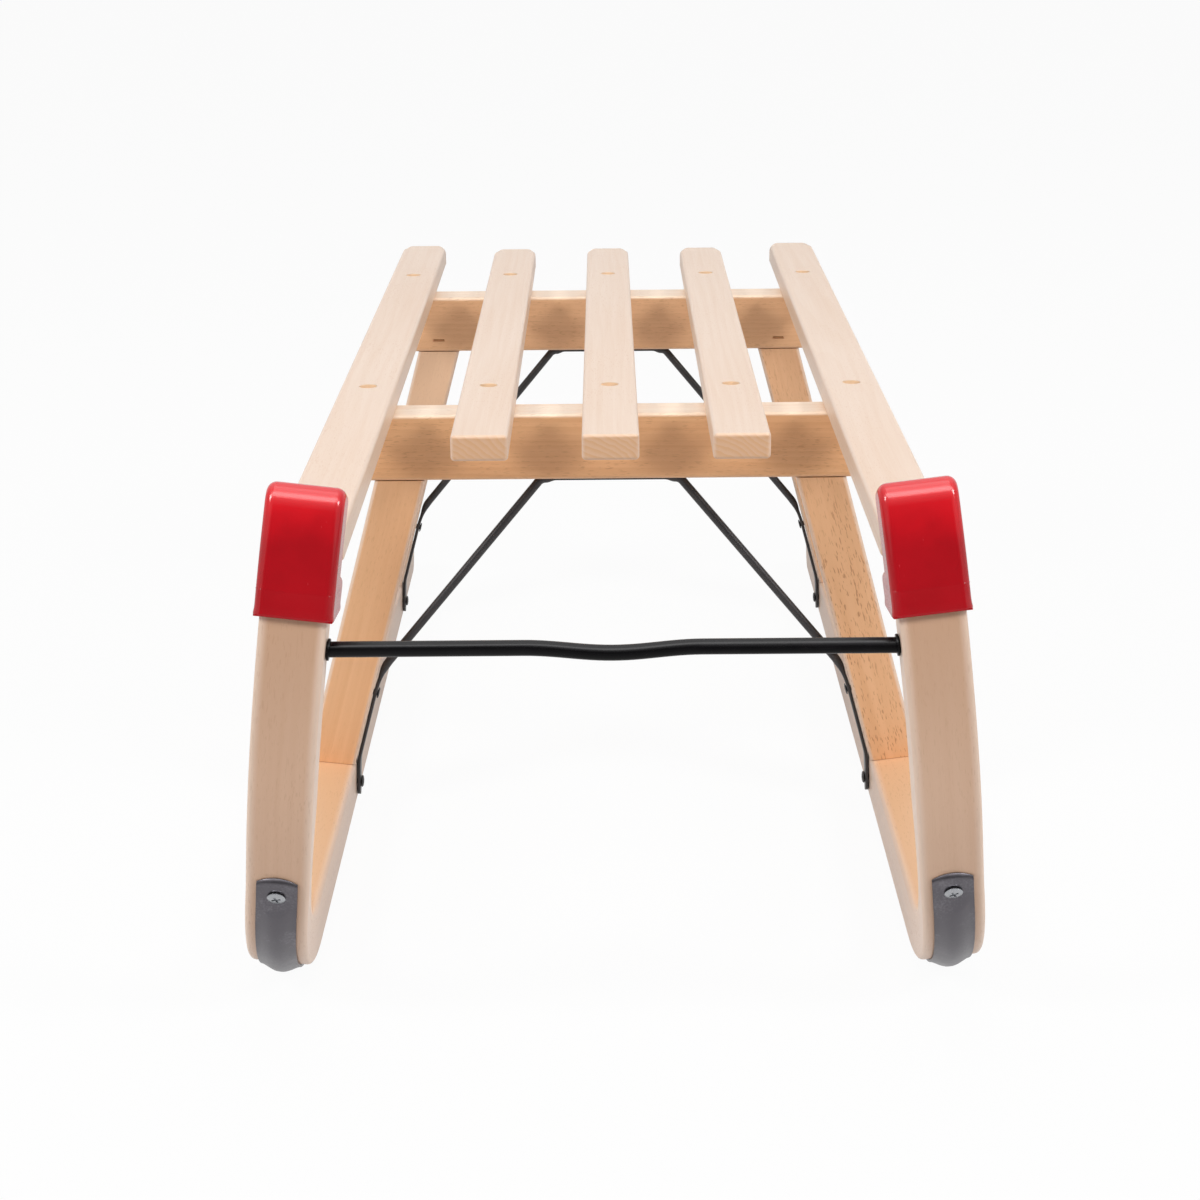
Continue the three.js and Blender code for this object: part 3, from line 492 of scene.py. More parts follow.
runner = {
    "width": 30, "thickness": 27.5, "hornThickness": 21, "edgeRound": 2.4,
    "leanAngle": 6.9, "sideLeanAngle": 2.5, "bendRadius": 118, "bendAngle": 67.4,
    "bendStartReach": 72.1, "hornStraight": 32.5, "hornRadius": 227.7, "hornRise": 25.4,
    "tail": 12.5, "tailRound": 9, "tipRound": 7,
}
seat = {
    "height": 256, "thickness": 14, "slatWidth": 30, "slatLength": 570, "pitch": 68.4,
    "edgeRound": 2, "rearCorner": 6, "frontCorner": 2.4, "noseRun": 16, "noseReach": 6.5, "noseDrop": 6,
    "noseShares": (0.45, 0.7, 1), "railWidth": 31, "railHalfSpan": 136.4, "railRearReach": 17.5,
    "hornOutset": 0.9,
}
shoe = {
    "width": 19.4, "rise": 4.9, "lip": 1.6, "domeSteps": 8, "frontRun": 154.5, "tailGap": 6,
    "arch": 3.2, "archReach": 14, "endReach": 2.5, "endShare": 0.3, "shadeReach": 2.2,
    "screwRun": 143, "rearScrew": 24, "screwSink": 1.5, "screwTiltAngle": 12,
    "flatShare": 0.3, "flatReach": 4.5, "flatFade": 6.5, "dimple": 0.5, "dimpleReach": 6, "beyond": 3,
}
cap = {
    "skin": 2.3, "drop": 30.1, "cornerRound": 10, "rearRound": 6, "edgeRound": 4.4, "footRound": 0.8,
    "lobeTop": 16, "lobeReach": 19, "lobeTaper": 3.8, "lobeLean": 1.5, "lobeRound": 8,
    "seamRise": 12, "seamHalf": 0.35, "seamProud": 0.15, "flareReach": 5, "flare": 0.6, "pocketReach": 30,
}

lean = math.radians(runner["leanAngle"])
sideLean = math.radians(runner["sideLeanAngle"])
sideShear = math.tan(lean - sideLean)
bendTurn = math.radians(runner["bendAngle"])
bendRadius = runner["bendRadius"]
hornRadius = runner["hornRadius"]
hornHalfSpan = seat["railHalfSpan"] + seat["hornOutset"]


# How low a point of the shoe's dome lies under the wood
def domeReach(step):
    angle = math.pi * step / shoe["domeSteps"]
    rise = shoe["lip"] + (shoe["rise"] - shoe["lip"]) * math.sin(angle)
    across = shoe["width"] / 2 * math.cos(angle)
    return rise * math.cos(lean) + (across + sideShear * rise) * math.sin(lean)


shoeReach = max(domeReach(step) for step in range(shoe["domeSteps"] + 1))
runnerDrop = (seat["height"] - shoeReach) / math.cos(lean)
slatBottom = seat["height"] - seat["thickness"]
bendTurnReach = bendRadius * math.sin(bendTurn)
bendRise = bendRadius * (1 - math.cos(bendTurn)) + runner["hornStraight"] * math.sin(bendTurn)
bulgeDrop = runnerDrop - bendRise - hornRadius * math.cos(bendTurn)
capOffset = gap + cap["skin"]
hornTurn = math.acos((-bulgeDrop - runner["hornRise"]) / hornRadius) - bendTurn
capFootTurn = math.asin(max(bulgeDrop - cap["drop"], 0) / (hornRadius + capOffset))
bulgeReach = max(hornRadius, (hornRadius + capOffset) * math.cos(capFootTurn))
frontReach = (
    runner["bendStartReach"] + bendTurnReach + runner["hornStraight"] * math.cos(bendTurn)
    + bulgeReach - hornRadius * math.sin(bendTurn))
overallLength = frontReach + seat["slatLength"] + seat["railRearReach"]
slatFrontY = frontReach - overallLength / 2
slatRearY = slatFrontY + seat["slatLength"]
railRearY = overallLength / 2
bendStartY = slatFrontY - runner["bendStartReach"]
runnerRearY = slatRearY + runner["tail"] - seat["edgeRound"]
flatRun = runnerRearY - bendStartY
bendRun = bendRadius * bendTurn
hornStart = flatRun + bendRun + runner["hornStraight"]
runnerLength = hornStart + hornRadius * hornTurn


def runnerFrame(sign):
    return moved(sign * hornHalfSpan, 0, seat["height"]) @ turned(-sign * lean, "Y")


# Where the strip is and how far it has turned, a given length from its tail
def station(along, inward):
    bend = min(max(along - flatRun, 0), bendRun) / bendRadius
    climb = min(max(along - flatRun - bendRun, 0), runner["hornStraight"])
    angle = bend + max(along - hornStart, 0) / hornRadius
    y = (runnerRearY - min(along, flatRun) - bendRadius * math.sin(bend) - climb * math.cos(bend)
         - hornRadius * (math.sin(angle) - math.sin(bend)))
    z = (-runnerDrop + bendRadius * (1 - math.cos(bend)) + climb * math.sin(bend)
         + hornRadius * (math.cos(bend) - math.cos(angle)))
    return y + inward * math.sin(angle), z + inward * math.cos(angle), angle


def thicknessAt(along):
    share = clamped((along - flatRun) / bendRun)
    return runner["thickness"] + (runner["hornThickness"] - runner["thickness"]) * share


# The strip leans less on the ground than at the horn, so its lower part is sheared sideways
def sideShift(sign, y, z):
    if z > -runnerDrop / 2:
        return 0
    share = clamped((y - bendStartY) / bendTurnReach + 1)
    return sign * sideShear * (z + runnerDrop) * share


# Where the outer face, or a face further in, is a given drop below the seat
def alongAtDrop(drop, inward=0):
    low = flatRun
    high = 2 * runnerLength
    while high - low > 1e-4:
        centre = (low + high) / 2
        if station(centre, inward)[1] < -drop:
            low = centre
        else:
            high = centre
    return low


# Bends a straight strip: x across, y along from the tail, z in from the outer face
def ontoRunner(sign, point, inward):
    y, z = station(point.y, inward)[:2]
    return Vector((point.x + sideShift(sign, y, z), y, z))


# The place of something fixed to the outer face, its z pointing out of the wood
def runnerSpot(sign, along, inward):
    y, z, angle = station(along, inward)
    return runnerFrame(sign) @ moved(sideShift(sign, y, z), y, z) @ turned(math.pi - angle, "X")


def curvePlaces(first, last, spacing):
    count = max(int((last - first) / spacing), 1)
    return [first + (last - first) * step / count for step in range(count + 1)]


print("runner line worked out, length", round(runnerLength, 1))


# Seat slats and the two outer rails, with screw holes over the crossbars

crossbar = {
    "depth": 27, "height": 38, "overhang": 12.6, "edgeRound": 2.2, "endChamfer": 7,
    "frontInset": 117.3, "spacing": 348.2, "paler": {"front": 0.05, "rear": 0.4},
}
counterbore = {"diameter": 9.6, "depth": 5.4, "flare": 0.5, "flareDepth": 0.7, "shank": 4.6, "facets": 40}
crossbarYs = {
    row: slatFrontY + crossbar["frontInset"] + crossbar["spacing"] * number for row, number in rows.items()}
slatBoards = {
    "slat_left": -seat["pitch"], "slat_center": 0, "slat_right": seat["pitch"],
    "rail_left": -seat["railHalfSpan"], "rail_right": seat["railHalfSpan"],
}


# The wide hole, its flared mouth and the shank's hole, each at its height over the seat's top
def counterboreCutters(x, y):
    width = counterbore["diameter"]
    facets = counterbore["facets"]
    parts = [
        (tube(width, counterbore["depth"] + 2, facets), 1 - counterbore["depth"] / 2),
        (tube(width - 0.2, 1, facets, width + 2 * counterbore["flare"]), 0.5 - counterbore["flareDepth"]),
        (tube(counterbore["shank"], seat["thickness"]), -seat["thickness"] / 2 - 1)]
    for part, rise in parts:
        part.transform(moved(x, y, seat["height"] + rise))
    return [part for part, rise in parts]


def makeBoard(place, x, seed):
    isRail = place.startswith("rail")
    width = seat["railWidth"] if isRail else seat["slatWidth"]
    shoulder = station(alongAtDrop(-capSlope, runner["hornThickness"]), runner["hornThickness"])[0]
    front = shoulder + capOffset + gap if isRail else slatFrontY
    rear = railRearY if isRail else slatRearY
    length = rear - front
    bm = block(width, length, seat["thickness"])
    rounded(bm, edgesAlong(bm.edges, 2, lambda spot: spot.y > 0), seat["rearCorner"], 7)
    frontCorners = edgesAlong(creases(bm, 60), 2, lambda spot: spot.y < 1 - length / 2)
    rounded(bm, frontCorners, seat["frontCorner"], 4)
    rounded(bm, creases(bm, 60), seat["edgeRound"], 4)
    noseStart = length / 2 - seat["noseRun"]
    sliced(bm, 1, [noseStart + seat["noseRun"] * step / 6 for step in range(6)])
    edges = [width / 2 - seat["noseReach"] * share for share in seat["noseShares"]]
    sliced(bm, 0, [-edge for edge in edges] + edges)
    for vert in bm.verts:
        along = clamped((vert.co.y - noseStart) / seat["noseRun"])
        across = clamped((abs(vert.co.x) - width / 2) / seat["noseReach"] + 1)
        drop = seat["noseDrop"] * (1 - math.sqrt(1 - across * across)) * eased(along)
        vert.co.z -= drop * (vert.co.z / seat["thickness"] + 0.5)
    centre = (x, (front + rear) / 2, slatBottom + seat["thickness"] / 2)
    bm.transform(moved(*centre))
    bm = carved(bm, [part for y in crossbarYs.values() for part in counterboreCutters(x, y)])
    grained(bm, seed, (width / 2, length / 2, seat["thickness"] / 2), centre)
    node = "seat_" + place
    finish(node + "_board", bm, "pale_beech", [node])


capSlope = (runner["width"] / 2 + capOffset) * math.sin(lean)
for number, (place, x) in enumerate(slatBoards.items()):
    makeBoard(place, x, 1.3 + 2.7 * number)
print("seat boards made")


# Crossbars, with a shallow slot for each staple

staple = {
    "crown": 7.4, "wire": 1.2, "length": 21, "sink": 0.3, "drop": 44, "inset": 17.4, "wireRound": 0.35,
    "slotDepth": 0.8, "slotRoom": (0.8, 0.6),
}
stapleHalfSpan = seat["railHalfSpan"] - staple["inset"]


def makeCrossbar(row, seed):
    length = 2 * (seat["railHalfSpan"] + crossbar["overhang"])
    bm = block(crossbar["depth"], length, crossbar["height"])
    rounded(bm, edgesAlong(bm.edges, 0, lambda spot: spot.z < 0), crossbar["endChamfer"], 1)
    rounded(bm, creases(bm, 30), crossbar["edgeRound"], 4)
    # the beam is built with its length along y and its front at +x
    slotX = crossbar["depth"] / 2 * (-1 if row == "front" else 1)
    slotZ = crossbar["height"] / 2 - staple["drop"] + seat["thickness"]
    roomY, roomZ = staple["slotRoom"]
    slots = []
    for sign in sides.values():
        size = (2 * staple["slotDepth"], staple["crown"] + roomY, staple["wire"] + roomZ)
        slots.append(block(*size, (slotX, sign * stapleHalfSpan, slotZ)))
    bm = carved(bm, slots)
    half = (crossbar["depth"] / 2, length / 2, crossbar["height"] / 2)
    grained(bm, seed, half, paler=crossbar["paler"][row])
    level = slatBottom - crossbar["height"] / 2
    place = moved(0, crossbarYs[row], level) @ turned(-math.pi / 2, "Z")
    node = "crossbar_" + row
    finish(node + "_beam", bm, "warm_beech", [node], place)


for row in rows:
    makeCrossbar(row, 21.4 + 6.1 * rows[row])
print("crossbars made")


# Legs: a leaning post cut level under the crossbar and slanted on the runner

leg = {
    "width": 27.5, "depth": 30, "recess": 1, "inset": 45.3, "footInset": 0.1, "edgeRound": 2.4,
    "uncutLength": 300, "uncutAbove": 40, "grainSpare": 4,
}
# How much paler each leg is made, which is painted light lifting legs that lie in shade, the rear left one
# most, and how flecked each leg is
legLightAndFlecks = {
    "front_left": (0.05, 0.3), "front_right": (0.1, 1.2), "rear_left": (1.1, 0.2), "rear_right": (0.3, 0.8)}
crossbarBottom = slatBottom - crossbar["height"]
legHalfSpan = seat["railHalfSpan"] - leg["inset"]


# A point off the runner's inner side, a given rise above the wood's underside
def runnerSidePoint(sign, rise, off):
    z = rise - runnerDrop
    x = sideShift(sign, bendStartY, z) - sign * (runner["width"] / 2 + off)
    return runnerFrame(sign) @ Vector((x, 0, z))


footEdge = runnerSidePoint(1, runner["thickness"], 0)
footEdgeDrop = seat["height"] - footEdge.z
legTilt = math.atan((footEdge.x + leg["footInset"] - legHalfSpan) / footEdgeDrop)


# The line of the leg's inner face, from the seat down
def legFrame(sign, y):
    return moved(sign * legHalfSpan, y, seat["height"]) @ turned(-sign * legTilt, "Y")


# A point off the leg's inner face, a given drop below the seat
def legPoint(sign, drop, off):
    return legFrame(sign, 0) @ Vector((-sign * off, 0, -drop / math.cos(legTilt)))


def makeLeg(row, side, seed):
    sign = sides[side]
    reach = leg["uncutLength"]
    post = block(leg["width"], reach, leg["depth"])
    rounded(post, edgesAlong(post.edges, 1), leg["edgeRound"], 4)
    y = crossbarYs[row] - crossbar["depth"] / 2 + leg["recess"] + leg["depth"] / 2
    stand = legFrame(sign, y) @ moved(sign * leg["width"] / 2, 0, leg["uncutAbove"] - reach / 2)
    stand = stand @ turned(math.pi / 2, "X")
    back = stand.inverted()
    turn = back.to_3x3()
    trimmed(post, back @ Vector((0, 0, crossbarBottom - gap)), turn @ Vector((0, 0, 1)))
    foot = runnerFrame(sign)
    footPoint = foot @ Vector((0, 0, runner["thickness"] + gap - runnerDrop))
    trimmed(post, back @ footPoint, turn @ (foot.to_3x3() @ Vector((0, 0, -1))))
    low = min(vert.co.y for vert in post.verts)
    high = max(vert.co.y for vert in post.verts)
    half = (leg["width"] / 2, (high - low) / 2 + leg["grainSpare"], leg["depth"] / 2)
    corner = f"{row}_{side}"
    grained(post, seed, half, (0, (high + low) / 2, 0), *legLightAndFlecks[corner])
    node = "leg_" + corner
    finish(node + "_post", post, "warm_beech", [node], stand, look="leg_beech")


seed = 31.7
for row in rows:
    for side in sides:
        makeLeg(row, side, seed)
        seed += 3.9
print("legs made")


# Runners, their steel shoes and the red caps on the horns

# The crosswise edge at the tip of a straight strip, on its outer face
def tipEdges(bm, high):
    return edgesAlong(creases(bm), 0, lambda spot: spot.y > high - 1 and spot.z < 1)


def makeRunner(side, seed):
    sign = sides[side]
    thickness = runner["thickness"]
    centre = (0, runnerLength / 2, thickness / 2)
    bm = block(runner["width"], runnerLength, thickness, centre)
    rounded(bm, edgesAlong(bm.edges, 0, lambda spot: spot.y < 1), runner["tailRound"], 6)
    rounded(bm, tipEdges(bm, runnerLength), runner["tipRound"], 6)
    rounded(bm, creases(bm, 50), runner["edgeRound"], 4)
    sliced(bm, 1, curvePlaces(flatRun, runnerLength - 4, 4.5))
    grained(bm, seed, (runner["width"] / 2, runnerLength / 2, thickness / 2), centre)
    bent(bm, lambda point: ontoRunner(sign, point, point.z / thickness * thicknessAt(point.y)))
    node = "runner_" + side
    finish(node + "_strip", bm, "warm_beech", [node], runnerFrame(sign), look="runner_beech")


# How far the shoe stands off the wood, over the lip at its edges
def shoeDome(x, y):
    share = min(abs(x) / (shoe["width"] / 2), 1)
    dome = (0.5 + 0.5 * math.cos(math.pi * share ** 1.1)) ** 0.8
    screwYs = (shoe["rearScrew"], flatRun + shoe["screwRun"])
    beyond = max(screwYs[0] - y, y - screwYs[1], 0)
    near = min(math.hypot(x, y - screwY) for screwY in screwYs)
    full = eased(clamped((near - shoe["flatReach"]) / shoe["flatFade"]))
    full = min(full, 1 - clamped(beyond / shoe["beyond"]))
    dip = shoe["dimple"] * max(1 - (near / shoe["dimpleReach"]) ** 2, 0)
    flat = shoe["flatShare"]
    return (shoe["rise"] - shoe["lip"]) * dome * (flat + (1 - flat) * full) - dip


def makeShoe(side):
    sign = sides[side]
    first = shoe["tailGap"]
    last = flatRun + shoe["frontRun"]
    half = shoe["width"] / 2
    centre = (0, (first + last) / 2, (shoe["lip"] + gap) / 2)
    bm = block(shoe["width"], last - first, shoe["lip"] - gap, centre)
    # the cuts lie closer together at the two screws than along the bend
    sliced(bm, 0, [half * step / 10 for step in range(-9, 10)])
    sliced(bm, 1, [first + 0.8, first + 3] + curvePlaces(first + 4, shoe["rearScrew"] + 13, 1.6))
    sliced(bm, 1, curvePlaces(flatRun, last - 28, 4.5) + curvePlaces(last - 26, last - 1, 1.4))
    shade = bm.verts.layers.float.new("shade")
    for vert in bm.verts:
        x, y, z = vert.co
        fromEnd = min(y - first, last - y)
        # painted shade: a dark contact shadow over the last millimetres of the shoe's front end
        vert[shade] = max(1 - (last - y) / shoe["shadeReach"], 0)
        if z > shoe["lip"] - 0.01:
            end = min(fromEnd / shoe["endReach"], 1)
            bulge = math.sqrt(max(end * (2 - end), 0))
            taper = shoe["endShare"] + (1 - shoe["endShare"]) * bulge
            vert.co.z = (shoe["lip"] + shoeDome(x, y)) * taper
        arch = shoe["arch"] * (x / half) ** 2 * max(1 - fromEnd / shoe["archReach"], 0)
        vert.co.y += arch if y < (first + last) / 2 else -arch
    bent(bm, lambda point: ontoRunner(sign, point, -point.z))
    node = "runner_shoe_" + side
    finish(node + "_strip", bm, "shoe_steel", [node], runnerFrame(sign), 50)


def makeCap(side):
    sign = sides[side]
    thickness = runner["hornThickness"]
    low = alongAtDrop(cap["drop"], -capOffset)
    high = runnerLength + capOffset
    width = runner["width"] + 2 * capOffset
    bm = block(width, high - low, thickness + 2 * capOffset, (0, (high + low) / 2, thickness / 2))
    backIn = thickness + capOffset
    # a lobe at the back, under the end of the rail
    sliced(bm, 1, [alongAtDrop(cap["lobeTop"], backIn)])
    lobeFace = min(
        (face for face in bm.faces if face.normal.z > 0.9), key=lambda face: face.calc_center_median().y)
    grown = bmesh.ops.extrude_discrete_faces(bm, faces=[lobeFace])["faces"][0]
    for vert in grown.verts:
        vert.co.z += cap["lobeReach"]
        if vert.co.y < low + 1:
            vert.co.z -= cap["lobeTaper"]
        else:
            vert.co.y -= cap["lobeLean"]
    rounded(bm, tipEdges(bm, high), cap["cornerRound"], 8)
    topRear = edgesAlong(creases(bm), 0, lambda spot: spot.y > high - 1 and spot.z > 0)
    rounded(bm, topRear, cap["rearRound"], 5)
    lobeTip = edgesAlong(creases(bm), 0, lambda spot: spot.y > low + 5 and spot.z > backIn + 10)
    rounded(bm, lobeTip, cap["lobeRound"], 6)
    footEdges = [edge for edge in creases(bm) if middle(edge).y < low + 1]
    rounded(bm, footEdges, cap["footRound"], 2)
    rounded(bm, creases(bm, 50), cap["edgeRound"], 6)
    # a flared lip and a faint moulding line
    seam = low + cap["seamRise"]
    sliced(bm, 1, [low + cap["flareReach"] * step / 4 for step in range(1, 5)])
    sliced(bm, 1, [seam - cap["seamHalf"], seam, seam + cap["seamHalf"]])
    sliced(bm, 1, curvePlaces(low + 20, high - 12, 3.5))
    for vert in bm.verts:
        flareShare = max(1 - (vert.co.y - low) / cap["flareReach"], 0)
        vert.co.x += math.copysign(cap["flare"] * flareShare * flareShare, vert.co.x)
        if abs(vert.co.y - seam) < 0.1 and vert.co.z < thickness:
            vert.co.x *= 1 + cap["seamProud"] / (width / 2)
            vert.co.z -= cap["seamProud"] if vert.co.z < 0 else 0
    bent(bm, lambda point: ontoRunner(sign, point, point.z))
    # the pocket for the horn
    first = low - cap["pocketReach"]
    last = runnerLength + gap
    centre = (0, (last + first) / 2, thickness / 2)
    pocket = block(runner["width"] + 2 * gap, last - first, thickness + 2 * gap, centre)
    rounded(pocket, tipEdges(pocket, last), runner["tipRound"] + gap, 6)
    sliced(pocket, 1, curvePlaces(first, runnerLength - 8, 4))
    bent(pocket, lambda point: ontoRunner(sign, point, point.z))
    bm = carved(bm, [pocket])
    node = "horn_cap_" + side
    finish(node + "_hood", bm, "red_plastic", [node], runnerFrame(sign), 50)


for side in sides:
    makeRunner(side, 47.3 + 5.3 * sides[side])
    makeShoe(side)
    makeCap(side)
print("runners, shoes and caps made")


# Pull bar with a dip in the middle and a collar inside each horn

pullBar = {
    "diameter": 7.2, "drop": 47.2, "dip": 2.6, "dipHalfWidth": 40, "endRound": 0.8,
    "collarDiameter": 10.1, "collarLength": 1.4, "collarRound": 0.4, "seatDepth": 8,
}
barLine = station(alongAtDrop(pullBar["drop"]), runner["hornThickness"] / 2)
barEnd = runnerFrame(1) @ Vector((0, *barLine[:2]))
acrossTurn = turned(math.pi / 2, "Y")


def makePullBar():
    bar = tube(pullBar["diameter"], 2 * (barEnd.x + pullBar["seatDepth"]), 28)
    bar.transform(acrossTurn)
    rounded(bar, creases(bar, 60), pullBar["endRound"], 3)
    halfDip = pullBar["dipHalfWidth"]
    sliced(bar, 0, [halfDip * step / 12 for step in range(-12, 13)])

    def dipped(point):
        share = min(abs(point.x) / halfDip, 1)
        return point - Vector((0, 0, pullBar["dip"] * (1 + math.cos(math.pi * share)) / 2))
    bent(bar, dipped)
    # tilted flat on the horns' inner sides
    collarX = barEnd.x - (runner["width"] / 2 + gap + pullBar["collarLength"] / 2) / math.cos(lean)
    parts = [bar]
    for sign in sides.values():
        collar = tube(pullBar["collarDiameter"], pullBar["collarLength"], 32)
        rounded(collar, creases(collar, 60), pullBar["collarRound"], 2)
        collar.transform(moved(sign * collarX, 0, 0) @ turned(-sign * lean, "Y") @ acrossTurn)
        parts.append(collar)
    place = moved(0, barEnd.y, barEnd.z)
    finish("pull_bar_rod", joined(parts), "black_steel", ["pull_bar"], place, look="bar_steel")


makePullBar()
print("pull bar made")


# Braces: a rod bent from leg to leg, flattened where it is screwed down

brace = {
    "rodDiameter": 5, "flatHalf": 34, "bendHalf": 39.7, "meetRise": 57.7,
    "strapWidth": 9, "strapThickness": 2.2, "footRise": 5, "centreWidth": 11, "centreThickness": 2.6,
    "upperScrewRise": 41.7, "lowerScrewRise": 13, "centreScrewHalf": 22,
    "centreFade": 5, "strapFade": 12, "strapFadeFrom": -3, "bendSteps": 6, "tipLeast": 0.06,
    "tipCuts": (0.06, 0.15, 0.3, 0.5, 0.75, 1),
}
meetDrop = footEdgeDrop - brace["meetRise"]


# The rod's line from the middle to the right foot, each corner rounded over its reach
def braceLine():
    flatLevel = crossbarBottom - gap - brace["centreThickness"] / 2
    rodLevel = crossbarBottom - gap - brace["rodDiameter"] / 2
    strapOff = gap + brace["strapThickness"] / 2
    corners = [
        (Vector((0, 0, flatLevel)), 0),
        (Vector((brace["flatHalf"] - 2, 0, flatLevel)), 1.5),
        (Vector((brace["flatHalf"] + 1.5, 0, rodLevel)), 1.5),
        (Vector((brace["bendHalf"], 0, rodLevel)), 2.8),
        (legPoint(1, meetDrop, gap + brace["rodDiameter"] / 2), 5.5),
        (legPoint(1, meetDrop + 13, strapOff), 4),
        (legPoint(1, runnerDrop - runner["thickness"] - brace["strapThickness"], strapOff), 2),
        (runnerSidePoint(1, runner["thickness"] - brace["strapThickness"], strapOff), 2),
        (runnerSidePoint(1, brace["footRise"], strapOff), 0),
    ]
    points = []
    for index, (corner, reach) in enumerate(corners):
        if reach == 0:
            points.append(corner)
            continue
        before = corner + (corners[index - 1][0] - corner).normalized() * reach
        after = corner + (corners[index + 1][0] - corner).normalized() * reach
        for step in range(brace["bendSteps"] + 1):
            share = step / brace["bendSteps"]
            first = before.lerp(corner, share)
            points.append(first.lerp(corner.lerp(after, share), share))
    return points


def measured(points):
    places = [0]
    for first, second in zip(points, points[1:]):
        places.append(places[-1] + (second - first).length)
    return places


def makeBrace(row):
    points = braceLine()
    places = measured(points)
    total = places[-1]
    flatEnd = brace["flatHalf"] - 2
    meetLevel = legPoint(1, meetDrop, 0).z
    meet = next(place for place, point in zip(places, points) if point.z < meetLevel)
    strapStart = meet + brace["strapFadeFrom"]
    halfStrap = brace["strapWidth"] / 2
    halfRod = brace["rodDiameter"] / 2

    def flatShare(place):
        inner = 1 - clamped((place - flatEnd) / brace["centreFade"])
        outer = clamped((place - strapStart) / brace["strapFade"])
        return eased(max(inner, outer))

    def onLine(point):
        place = min(abs(point.x), total)
        index = max(number for number in range(len(places) - 1) if places[number] <= place + 1e-6)
        span = places[index + 1] - places[index]
        spot = points[index].lerp(points[index + 1], min((place - places[index]) / span, 1))
        before = points[max(index - 1, 0)]
        after = points[min(index + 2, len(points) - 1)]
        run = (after - before).normalized()
        normal = Vector((-run.z, 0, run.x))
        flat = flatShare(place)
        cosine = point.y / halfRod
        sine = point.z / halfRod
        wide = math.copysign(abs(cosine) ** (1 - 0.45 * flat), cosine)
        thick = math.copysign(abs(sine) ** (1 - 0.6 * flat), sine)
        isCentre = place < brace["bendHalf"]
        wideTo = brace["centreWidth"] / 2 if isCentre else halfStrap
        thickTo = (brace["centreThickness"] if isCentre else brace["strapThickness"]) / 2
        halfWidth = halfRod * (1 - flat) + wideTo * flat
        halfThick = halfRod * (1 - flat) + thickTo * flat
        fromEnd = max(place - (total - halfStrap), 0) / halfStrap
        halfWidth *= math.sqrt(max(1 - fromEnd * fromEnd, brace["tipLeast"]))
        spot += normal * thick * halfThick
        spot.x *= math.copysign(1, point.x)
        spot.y = wide * halfWidth
        return spot

    rod = tube(brace["rodDiameter"], 2 * total)
    rod.transform(acrossTurn)
    cuts = sorted(set(round(place, 3) for place in places[1:-1]))
    cuts += [total - halfStrap * share for share in brace["tipCuts"]]
    cuts += [flatEnd + step for step in range(7)]
    cuts += [strapStart + brace["strapFade"] * step / 8 for step in range(9)]
    sliced(rod, 0, sorted([-cut for cut in cuts] + [0] + cuts))
    bent(rod, onLine)
    node = "brace_" + row
    finish(node + "_rod", rod, "black_steel", [node], moved(0, crossbarYs[row], 0))


for row in rows:
    makeBrace(row)
print("braces made")


# Screws with a cross recess, and staples

screws = {
    "seat": {"head": 8.6, "headHeight": 2.6, "shank": 4, "length": 32},
    "brace": {"head": 6.6, "headHeight": 1.0, "shank": 3.4, "length": 16},
    "foot": {"head": 7, "headHeight": 1.3, "shank": 3.4, "length": 9},
    "centre": {"head": 6.4, "headHeight": 1.3, "shank": 3.4, "length": 16},
    "shoe": {"head": 8.8, "headHeight": 1.2, "shank": 3.4, "length": 16},
    "horn": {"head": 8, "headHeight": 2.6, "shank": 4, "length": 46, "drop": 7, "sink": 1.2},
}
recess = {"share": 0.52, "width": 1.1, "depth": 0.8, "cornerRound": 0.3, "turn": 0.4}


def makeScrew(name, kind, slot, place):
    size = screws[kind]
    length = size["length"]
    shank = size["shank"] / 2
    rim = size["head"] / 2
    head = size["headHeight"]
    bm = bmesh.new()
    profile = [
        (0, -length), (shank, 2 * shank - length), (shank, -0.4), (shank + 0.3, 0), (rim - 0.2, 0),
        (rim, 0.25), (rim, head * 0.45), (rim - 0.5, head * 0.8), (rim - 1.4, head * 0.97), (0, head)]
    verts = [bm.verts.new((x, 0, z)) for x, z in profile]
    edges = [bm.edges.new(pair) for pair in zip(verts, verts[1:])]
    bmesh.ops.spin(
        bm, geom=verts + edges, axis=(0, 0, 1), angle=2 * math.pi, steps=28, use_merge=True)
    bmesh.ops.remove_doubles(bm, verts=bm.verts, dist=0.001)
    bmesh.ops.recalc_face_normals(bm, faces=bm.faces)
    slots = []
    for turn in (0, math.pi / 2):
        bar = block(size["head"] * recess["share"], recess["width"], 2 * recess["depth"])
        rounded(bar, edgesAlong(bar.edges, 2), recess["cornerRound"], 2)
        bar.transform(moved(0, 0, head) @ turned(turn + recess["turn"], "Z"))
        slots.append(bar)
    bm = carved(bm, slots)
    finish(name + "_metal", bm, slot, [name], place)


def makeStaple(row, side):
    sign = sides[side]
    inward = 1 if row == "front" else -1
    faceY = crossbarYs[row] + inward * (crossbar["depth"] / 2 - staple["sink"])
    spot = moved(sign * stapleHalfSpan, faceY, seat["height"] - staple["drop"])
    wire = staple["wire"]
    crown = block(staple["crown"], wire, wire)
    sliced(crown, 0, [wire - staple["crown"] / 2, staple["crown"] / 2 - wire])
    feet = [
        face for face in crown.faces
        if face.normal.z < -0.9 and abs(face.calc_center_median().x) > staple["crown"] / 2 - wire]
    for foot in bmesh.ops.extrude_discrete_faces(crown, faces=feet)["faces"]:
        for vert in foot.verts:
            vert.co.z -= staple["length"] - wire
    rounded(crown, creases(crown, 60), staple["wireRound"], 2)
    crown.transform(moved(0, 0, -wire / 2))
    node = f"leg_staple_{row}_{side}"
    spot = spot @ turned(-inward * math.pi / 2, "X")
    finish(node + "_wire", crown, "black_steel", [node], spot, look="staple_steel")


